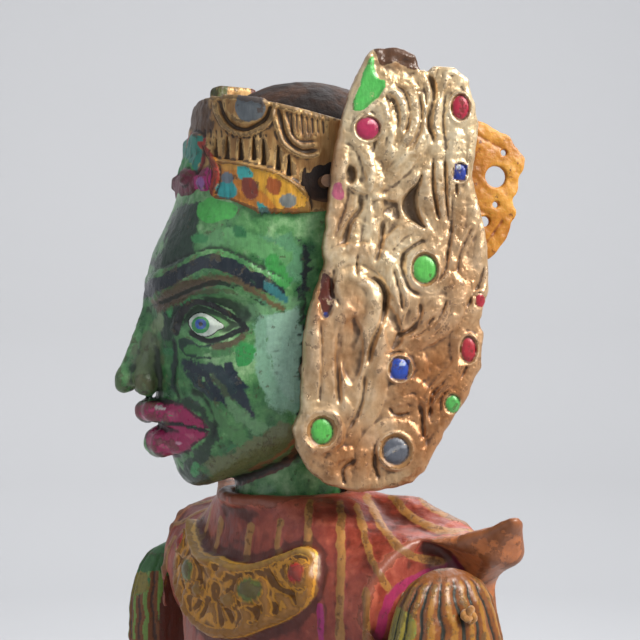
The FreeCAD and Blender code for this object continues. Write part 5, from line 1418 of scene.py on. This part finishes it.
def tube(path, r, sides=12, twist=0.0, lobes=3, deep=0.14, closed=False, taper=None):
    """Round or laid-rope tube along a path in mm."""
    path = np.asarray(path, float)
    n_ = len(path)
    tg = np.roll(path, -1, 0) - np.roll(path, 1, 0) if closed else np.gradient(path, axis=0)
    tg /= np.linalg.norm(tg, axis=1, keepdims=True)
    ref = np.array([0.3, 0.2, 0.93]) if abs(tg[0][2]) < 0.8 else np.array([0.9, 0.3, 0.1])
    u_ = np.cross(tg[0], ref)
    u_ /= np.linalg.norm(u_)
    us = []
    for k_ in range(n_):
        u_ = u_ - tg[k_] * (u_ @ tg[k_])
        u_ /= np.linalg.norm(u_)
        us.append(u_)
    us = np.array(us)
    vs = np.cross(tg, us)
    d_ = np.concatenate([[0], np.cumsum(np.linalg.norm(path[1:] - path[:-1], axis=1))])
    if closed:
        # close the frame's own turn
        ea = math.atan2(us[0] @ vs[-1], us[0] @ us[-1])
        an = ea * np.arange(n_) / n_
        us, vs = us * np.cos(an)[:, None] + vs * np.sin(an)[:, None], -us * np.sin(an)[:, None] + vs * np.cos(an)[:, None]
        twist = round(twist * d_[-1] / (2 * np.pi)) * 2 * np.pi / d_[-1] if twist else 0
    a_ = np.linspace(0, 2 * np.pi, sides, endpoint=False)
    rr = r * (1 - deep + deep * 1.4 * np.abs(np.cos(lobes * 0.5 * (a_[None] - twist * d_[:, None])))) if twist else np.full((n_, sides), r)
    if taper is not None:
        rr = rr * np.interp(np.linspace(0, 1, n_), np.linspace(0, 1, len(taper)), taper)[:, None]
    pts_ = path[:, None] + rr[..., None] * (us[:, None] * np.cos(a_)[None, :, None] + vs[:, None] * np.sin(a_)[None, :, None])
    pts_ = pts_.reshape(-1, 3)
    lim = n_ if closed else n_ - 1
    i_, j_ = np.meshgrid(np.arange(lim), np.arange(sides), indexing="ij")
    A_ = i_ * sides + j_
    B_ = i_ * sides + (j_ + 1) % sides
    C_ = ((i_ + 1) % n_) * sides + (j_ + 1) % sides
    D_ = ((i_ + 1) % n_) * sides + j_
    qq = np.stack([A_, B_, C_, D_], -1).reshape(-1, 4)
    if not closed:
        base = len(pts_)
        pts_ = np.vstack([pts_, path[0], path[-1]])
        caps = []
        for j in range(0, sides, 2):
            caps.append([base, (j + 2) % sides, (j + 1) % sides, j])
            e0 = (n_ - 1) * sides
            caps.append([base + 1, e0 + j, e0 + (j + 1) % sides, e0 + (j + 2) % sides])
        qq = np.vstack([qq, caps])
    return pts_, qq


def join(parts):
    P_, Q_, k_ = [], [], 0
    for a_, b_ in parts:
        P_.append(a_)
        Q_.append(b_ + k_)
        k_ += len(a_)
    return np.vstack(P_), np.vstack(Q_)


def cotton(name, base, deep):
    n = Nodes(name)
    c = n.ramp(n.noise(500, 5, 0.6), [(0.3, deep), (0.55, base), (0.8, tuple(min(1, x * 1.25) for x in base))])
    n.done(c, 0.9, 0.0, n.bump(n.noise(2600, 4, 0.7, (1, 1, 1)), 0.0002, 0.9))
    n.b.inputs["Sheen Weight"].default_value = 0.3
    return n.m


m_cord = cotton("cotton", srgb(186, 172, 142), srgb(128, 110, 84))
m_fringe = cotton("fringe_thread", srgb(190, 142, 66), srgb(120, 60, 34))
for name, o, xs, ys in fringe_obs:
    parts = []
    for k_ in range(1, 39, 2):
        x_, y_ = xs[k_], ys[k_]
        w_ = 0.5 * math.sin(k_ * 2.3)
        path = [(x_, y_, 190.6), (x_ + 0.2 * w_, y_ - 0.1, 188), (x_ + 0.6 * w_, y_ - 0.2 + 0.2 * w_, 185), (x_ + 0.9 * w_, y_ - 0.35 + 0.3 * w_, 181.6 + 0.6 * w_)]
        parts.append(tube(spline(path, 5), 0.24, 6, 0))
    a_, b_ = join(parts)
    fr = mesh_piece("sash_fringe_" + name, a_, b_, m_fringe)
    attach(fr, "torso")


# ================================================================== knots, loops and bindings of laid cord
def knot(c, size, r, axis=0, turn=0.0, taper=None):
    t_ = np.linspace(0, 2 * np.pi, 72, endpoint=False)
    k3 = np.stack([-np.sin(3 * t_) * 0.9, np.sin(t_) + 2 * np.sin(2 * t_), np.cos(t_) - 2 * np.cos(2 * t_)], 1) * size / 3.0
    ca, sa = math.cos(turn), math.sin(turn)
    k3 = np.stack([k3[:, 0], k3[:, 1] * ca - k3[:, 2] * sa, k3[:, 1] * sa + k3[:, 2] * ca], 1)
    return tube(k3 + np.array(c), r, 12, 3.2, closed=True)


def straight(a_, b_, r, n_=20):
    a_, b_ = np.array(a_, float), np.array(b_, float)
    return tube(a_ + (b_ - a_) * np.linspace(0, 1, n_)[:, None], r, 12, 2.6)


m_knotpaint = cotton("knot_painted", srgb(170, 118, 58), srgb(96, 56, 28))
for side, s, low in (("left", 1, 0.0), ("right", -1, 8.0)):
    pz, ez, tz, axm = 362.0 - low, 283.0 - low, 213.0 - low, s * 51.7
    P_, Q_ = join([straight((s * 45.3, .5, pz), (s * 58.6, .5, pz), 0.85), knot((s * 58.5, .5, pz), 1.15, 0.62, turn=0.6)])
    o = mesh_piece("shoulder_cord_end_" + side, P_, Q_, m_knotpaint)
    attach(o, "upper_arm_" + side)
    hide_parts("shoulder_knot_" + side)
    P_, Q_ = join([straight((axm - 6.6, .5, ez), (axm + 6.6, .5, ez), 0.85), knot((axm - 6.6, .5, ez), 1.25, 0.62, turn=1.1), knot((axm + 6.6, .5, ez), 1.25, 0.62, turn=0.2)])
    o = mesh_piece("elbow_tie_" + side, P_, Q_, m_cord)
    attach(o, "upper_arm_" + side)
    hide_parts("elbow_cord_" + side)
    t_ = np.linspace(0, 2 * np.pi, 60, endpoint=False)
    ring_p = np.stack([s * 59.6 + 3.1 * np.cos(t_), 0.5 + 3.1 * np.sin(t_), tz + 0.25 * np.sin(2 * t_)], 1)
    P_, Q_ = join([straight((s * 46.9, .5, tz), (s * 56.5, .5, tz), 0.72), knot((s * 46.2, .5, tz), 1.05, 0.55, turn=0.4), tube(ring_p, 0.68, 12, 3.0, closed=True)])
    o = mesh_piece("hand_loop_" + side, P_, Q_, m_cord)
    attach(o, "hand_tie_" + side)
    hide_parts("hand_tie_" + side)
# whipping round the rod that holds the body up
t_ = np.linspace(0, 1, 420)
turns = 8.0
rad_ = np.where(t_ < 0.5, 4.35, 6.35) + 0 * t_
rad_ = 4.35 + 2.05 * soft(t_, 0.46, 0.54)
zz_ = np.where(t_ < 0.5, 270.4 + t_ * 2 * 3.1, 273.5 - (t_ - 0.5) * 2 * 3.1)
path = np.stack([rad_ * np.cos(2 * np.pi * turns * t_), rad_ * np.sin(2 * np.pi * turns * t_), zz_ + 0.15 * np.sin(40 * t_)], 1)
P_, Q_ = tube(path, 1.22, 12, 2.2)
# a short tucked tail
P2, Q2 = tube(spline([(5.9, 1.6, 273.2), (7.0, 2.6, 272.0), (7.3, 3.0, 270.9)], 6), 0.9, 12, 2.6, taper=[1, 1, .8])
P_, Q_ = join([(P_, Q_), (P2, Q2)])
o = mesh_piece("rest_whipping", P_, Q_, m_cord)
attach(o, "rest_collar")
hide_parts("rest_collar")

# ================================================================== domed tacks
parts = []
for k_ in range(8):
    an = math.radians(22.5 + 45 * k_)
    c0 = np.array([31.2 * math.cos(an), 25.4 * math.sin(an), 289.5])
    nr = np.array([math.cos(an) / 31.2, math.sin(an) / 25.4, 0])
    nr /= np.linalg.norm(nr)
    pr = [(0.01, 1.15), (0.6, 1.08), (1.1, 0.85), (1.5, 0.5), (1.8, 0.12), (1.9, -0.15), (1.6, -0.3), (0.6, -0.3), (0.55, -1.5), (0.01, -1.5)]
    e1 = np.array([0, 0, 1.0])
    e2_ = np.cross(nr, e1)
    sd_n = 24
    aa = np.linspace(0, 2 * np.pi, sd_n, endpoint=False)
    pts_ = np.array([[c0 + nr * hgt + rr_ * (e1 * math.cos(w_) + e2_ * math.sin(w_)) for w_ in aa] for rr_, hgt in pr]).reshape(-1, 3)
    i_, j_ = np.meshgrid(np.arange(len(pr) - 1), np.arange(sd_n), indexing="ij")
    A_, B_ = i_ * sd_n + j_, i_ * sd_n + (j_ + 1) % sd_n
    parts.append((pts_, np.stack([A_, A_ + sd_n, B_ + sd_n, B_], -1).reshape(-1, 4)))
P_, Q_ = join(parts)
c0 = np.array([31.2, 25.4, 1])
nt = normals(P_, Q_)
if np.einsum("ij,ij->i", nt, P_ * [1, 1, 0])[:24].mean() < 0:
    Q_ = Q_[:, ::-1]
n = Nodes("tack_brass")
v1 = n.noise(420, 4)
n.done(n.ramp(v1, [(0.3, srgb(96, 66, 28)), (0.55, srgb(186, 142, 66)), (0.8, srgb(222, 186, 110))]), n.lerp(v1, 0.45, 0.22, 0.3, 0.7), 0.95, n.bump(n.noise(1500, 4), 0.0001, 0.7))
o = mesh_piece("tacks", P_, Q_, n.m)
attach(o, "torso")
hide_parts("skirt_tacks")


# ================================================================== materials of the CAD pieces that stay as they are
def wood_mat(name, a_, b_, scale=60, along=(1, 1, 0.08), rough=(0.35, 0.6), coat=0.1, rings=None):
    n = Nodes(name)
    v_ = n.noise(scale, 8, 0.62, along, 2.0, distort=0.8)
    f_ = n.noise(scale * 9, 5, 0.6, (along[0], along[1], along[2] * 0.6), 5.0)
    g_ = n.math("MULTIPLY_ADD", f_, 0.35, n.math("MULTIPLY", v_, 0.75))
    c_ = n.ramp(g_, [(0.34, b_), (0.55, a_), (0.75, tuple(min(1, x * 1.35) for x in a_))])
    hand = n.step(n.noise(18, 4, 0.6), 0.45, 0.7)
    c_ = n.mix(n.math("MULTIPLY", hand, 0.45), c_, tuple(x * 0.55 for x in b_))
    if rings:
        sep = n.t.nodes.new("ShaderNodeSeparateXYZ")
        n.link(n.co, sep.inputs[0])
        z_ = sep.outputs[2]
        for zr, wd, cc in rings:
            c_ = n.mix(n.math("SUBTRACT", 1.0, n.step(n.math("ABSOLUTE", n.math("SUBTRACT", z_, zr * MM)), wd * MM, wd * MM * 1.15)), c_, cc)
    n.done(c_, n.lerp(g_, rough[1], rough[0], 0.3, 0.7), 0.0, n.bump(g_, 0.0003, 0.7))
    n.b.inputs["Coat Weight"].default_value = coat
    n.b.inputs["Coat Roughness"].default_value = 0.3
    return n.m


m_rod = wood_mat("rod_wood", srgb(150, 104, 62), srgb(84, 52, 30), coat=0.25)
m_peg = wood_mat("peg_wood", srgb(92, 62, 38), srgb(50, 32, 20), 90, (1, 1, 1))
m_bamboo = wood_mat("bamboo_rod", srgb(58, 36, 22), srgb(24, 14, 10), 80, coat=0.35, rough=(0.25, 0.5))
n = Nodes("washer_leather")
v1 = n.noise(300, 6)
n.done(n.ramp(v1, [(0.3, srgb(52, 30, 18)), (0.7, srgb(120, 78, 46))]), 0.7, 0.0, n.bump(n.voro(1400), 0.0002, 0.8))
m_leather = n.m
CADMAT = {"central_rod": m_rod, "rod_washer": m_leather, "wing_pegs": m_peg, "crest_pegs": m_peg, "shoulder_cord": m_cord,
          "shoulder_loop_left": m_cord, "shoulder_loop_right": m_cord, "hand_rod_left": m_bamboo, "hand_rod_right": m_bamboo}
for key, mat in CADMAT.items():
    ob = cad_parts[key]
    for sl in ob.material_slots:
        sl.link = "OBJECT" if False else sl.link
        sl.material = mat

# ================================================================== stage, camera, light
def stage_mat(name, col):
    n = Nodes(name)
    v = n.noise(1.3, 3, 0.5)
    n.done(n.mix(n.lerp(v, 0.0, 0.06, 0.3, 0.7), col, tuple(c * 0.8 for c in col)), 0.9)
    n.b.inputs["Specular IOR Level"].default_value = 0.1
    return n.m


T = Vector((math.sin(AZ), -math.cos(AZ), 0))
Rv = Vector((math.cos(AZ), math.sin(AZ), 0))
cam = bpy.data.objects.new("camera", bpy.data.cameras.new("camera"))
bpy.context.scene.collection.objects.link(cam)
cam.location = (T * EYE + Rv * SHIFT + Vector((0, 0, ROW))) * MM
cam.rotation_euler = (math.radians(90), 0, AZ)
cam.data.sensor_width = 36
cam.data.angle = 2 * math.atan(320 / (PER_MM * EYE))
cam.data.clip_start = 0.01
bpy.context.scene.camera = cam

m_stage = stage_mat("studio_white", (0.56, 0.565, 0.58))
bm = bmesh.new()
prof = [(0.0, 0.0), (1.2, 0.0)]
# a floor that sweeps up into a backdrop all round, so that every view has one
ring = []
for i, (rad, z) in enumerate([(0.001, 0), (0.5, 0), (1.0, 0), (1.45, 0.0), (1.75, 0.03), (2.0, 0.16), (2.15, 0.4), (2.2, 0.8), (2.2, 1.8)]):
    ring.append([bm.verts.new((rad * math.cos(2 * math.pi * k / 96), rad * math.sin(2 * math.pi * k / 96), z)) for k in range(96)])
for a, b in zip(ring[:-1], ring[1:]):
    for k in range(96):
        bm.faces.new((a[k], a[(k + 1) % 96], b[(k + 1) % 96], b[k]))
me = bpy.data.meshes.new("studio")
bm.to_mesh(me)
bm.free()
for f in me.polygons:
    f.use_smooth = True
me.materials.append(m_stage)
studio = bpy.data.objects.new("studio", me)
bpy.context.scene.collection.objects.link(studio)
studio.location = (0, 0, -0.001)


def lamp(name, at, aim, size, power, col=(1, 1, 1)):
    L = bpy.data.lights.new(name, "AREA")
    L.shape = "SQUARE"
    L.size = size
    L.energy = power
    L.color = col
    o = bpy.data.objects.new(name, L)
    bpy.context.scene.collection.objects.link(o)
    o.location = at
    o.rotation_euler = (Vector(aim) - Vector(at)).to_track_quat("-Z", "Y").to_euler()
    return o


mid_ = Vector((0, 0, 0.42))
lamp("key", mid_ + (Rv * 0.72 + T * 0.42 + Vector((0, 0, 0.62))), mid_, 0.45, 17.0, (1.0, 0.965, 0.91))
lamp("fill", mid_ + (Rv * -0.9 + T * 0.7 + Vector((0, 0, 0.25))), mid_, 0.9, 1.6, (0.86, 0.93, 1.0))
lamp("back", mid_ + (Rv * 0.4 - T * 1.2 + Vector((0, 0, 0.9))), mid_ + Vector((0, 0, 0.1)), 0.9, 6.0, (0.95, 0.97, 1.0))
lamp("wall", mid_ + (T * -0.75 + Vector((0, 0, 0.55))), mid_ + T * -2.2 + Vector((0, 0, -0.1)), 0.9, 13.0, (1.0, 0.99, 0.98))
w = bpy.data.worlds.new("room")
bpy.context.scene.world = w
w.use_nodes = True
w.node_tree.nodes["Background"].inputs[0].default_value = (0.86, 0.90, 0.96, 1)
w.node_tree.nodes["Background"].inputs[1].default_value = 0.55
bpy.context.scene.view_settings.view_transform = "Standard"

bpy.context.view_layer.update()
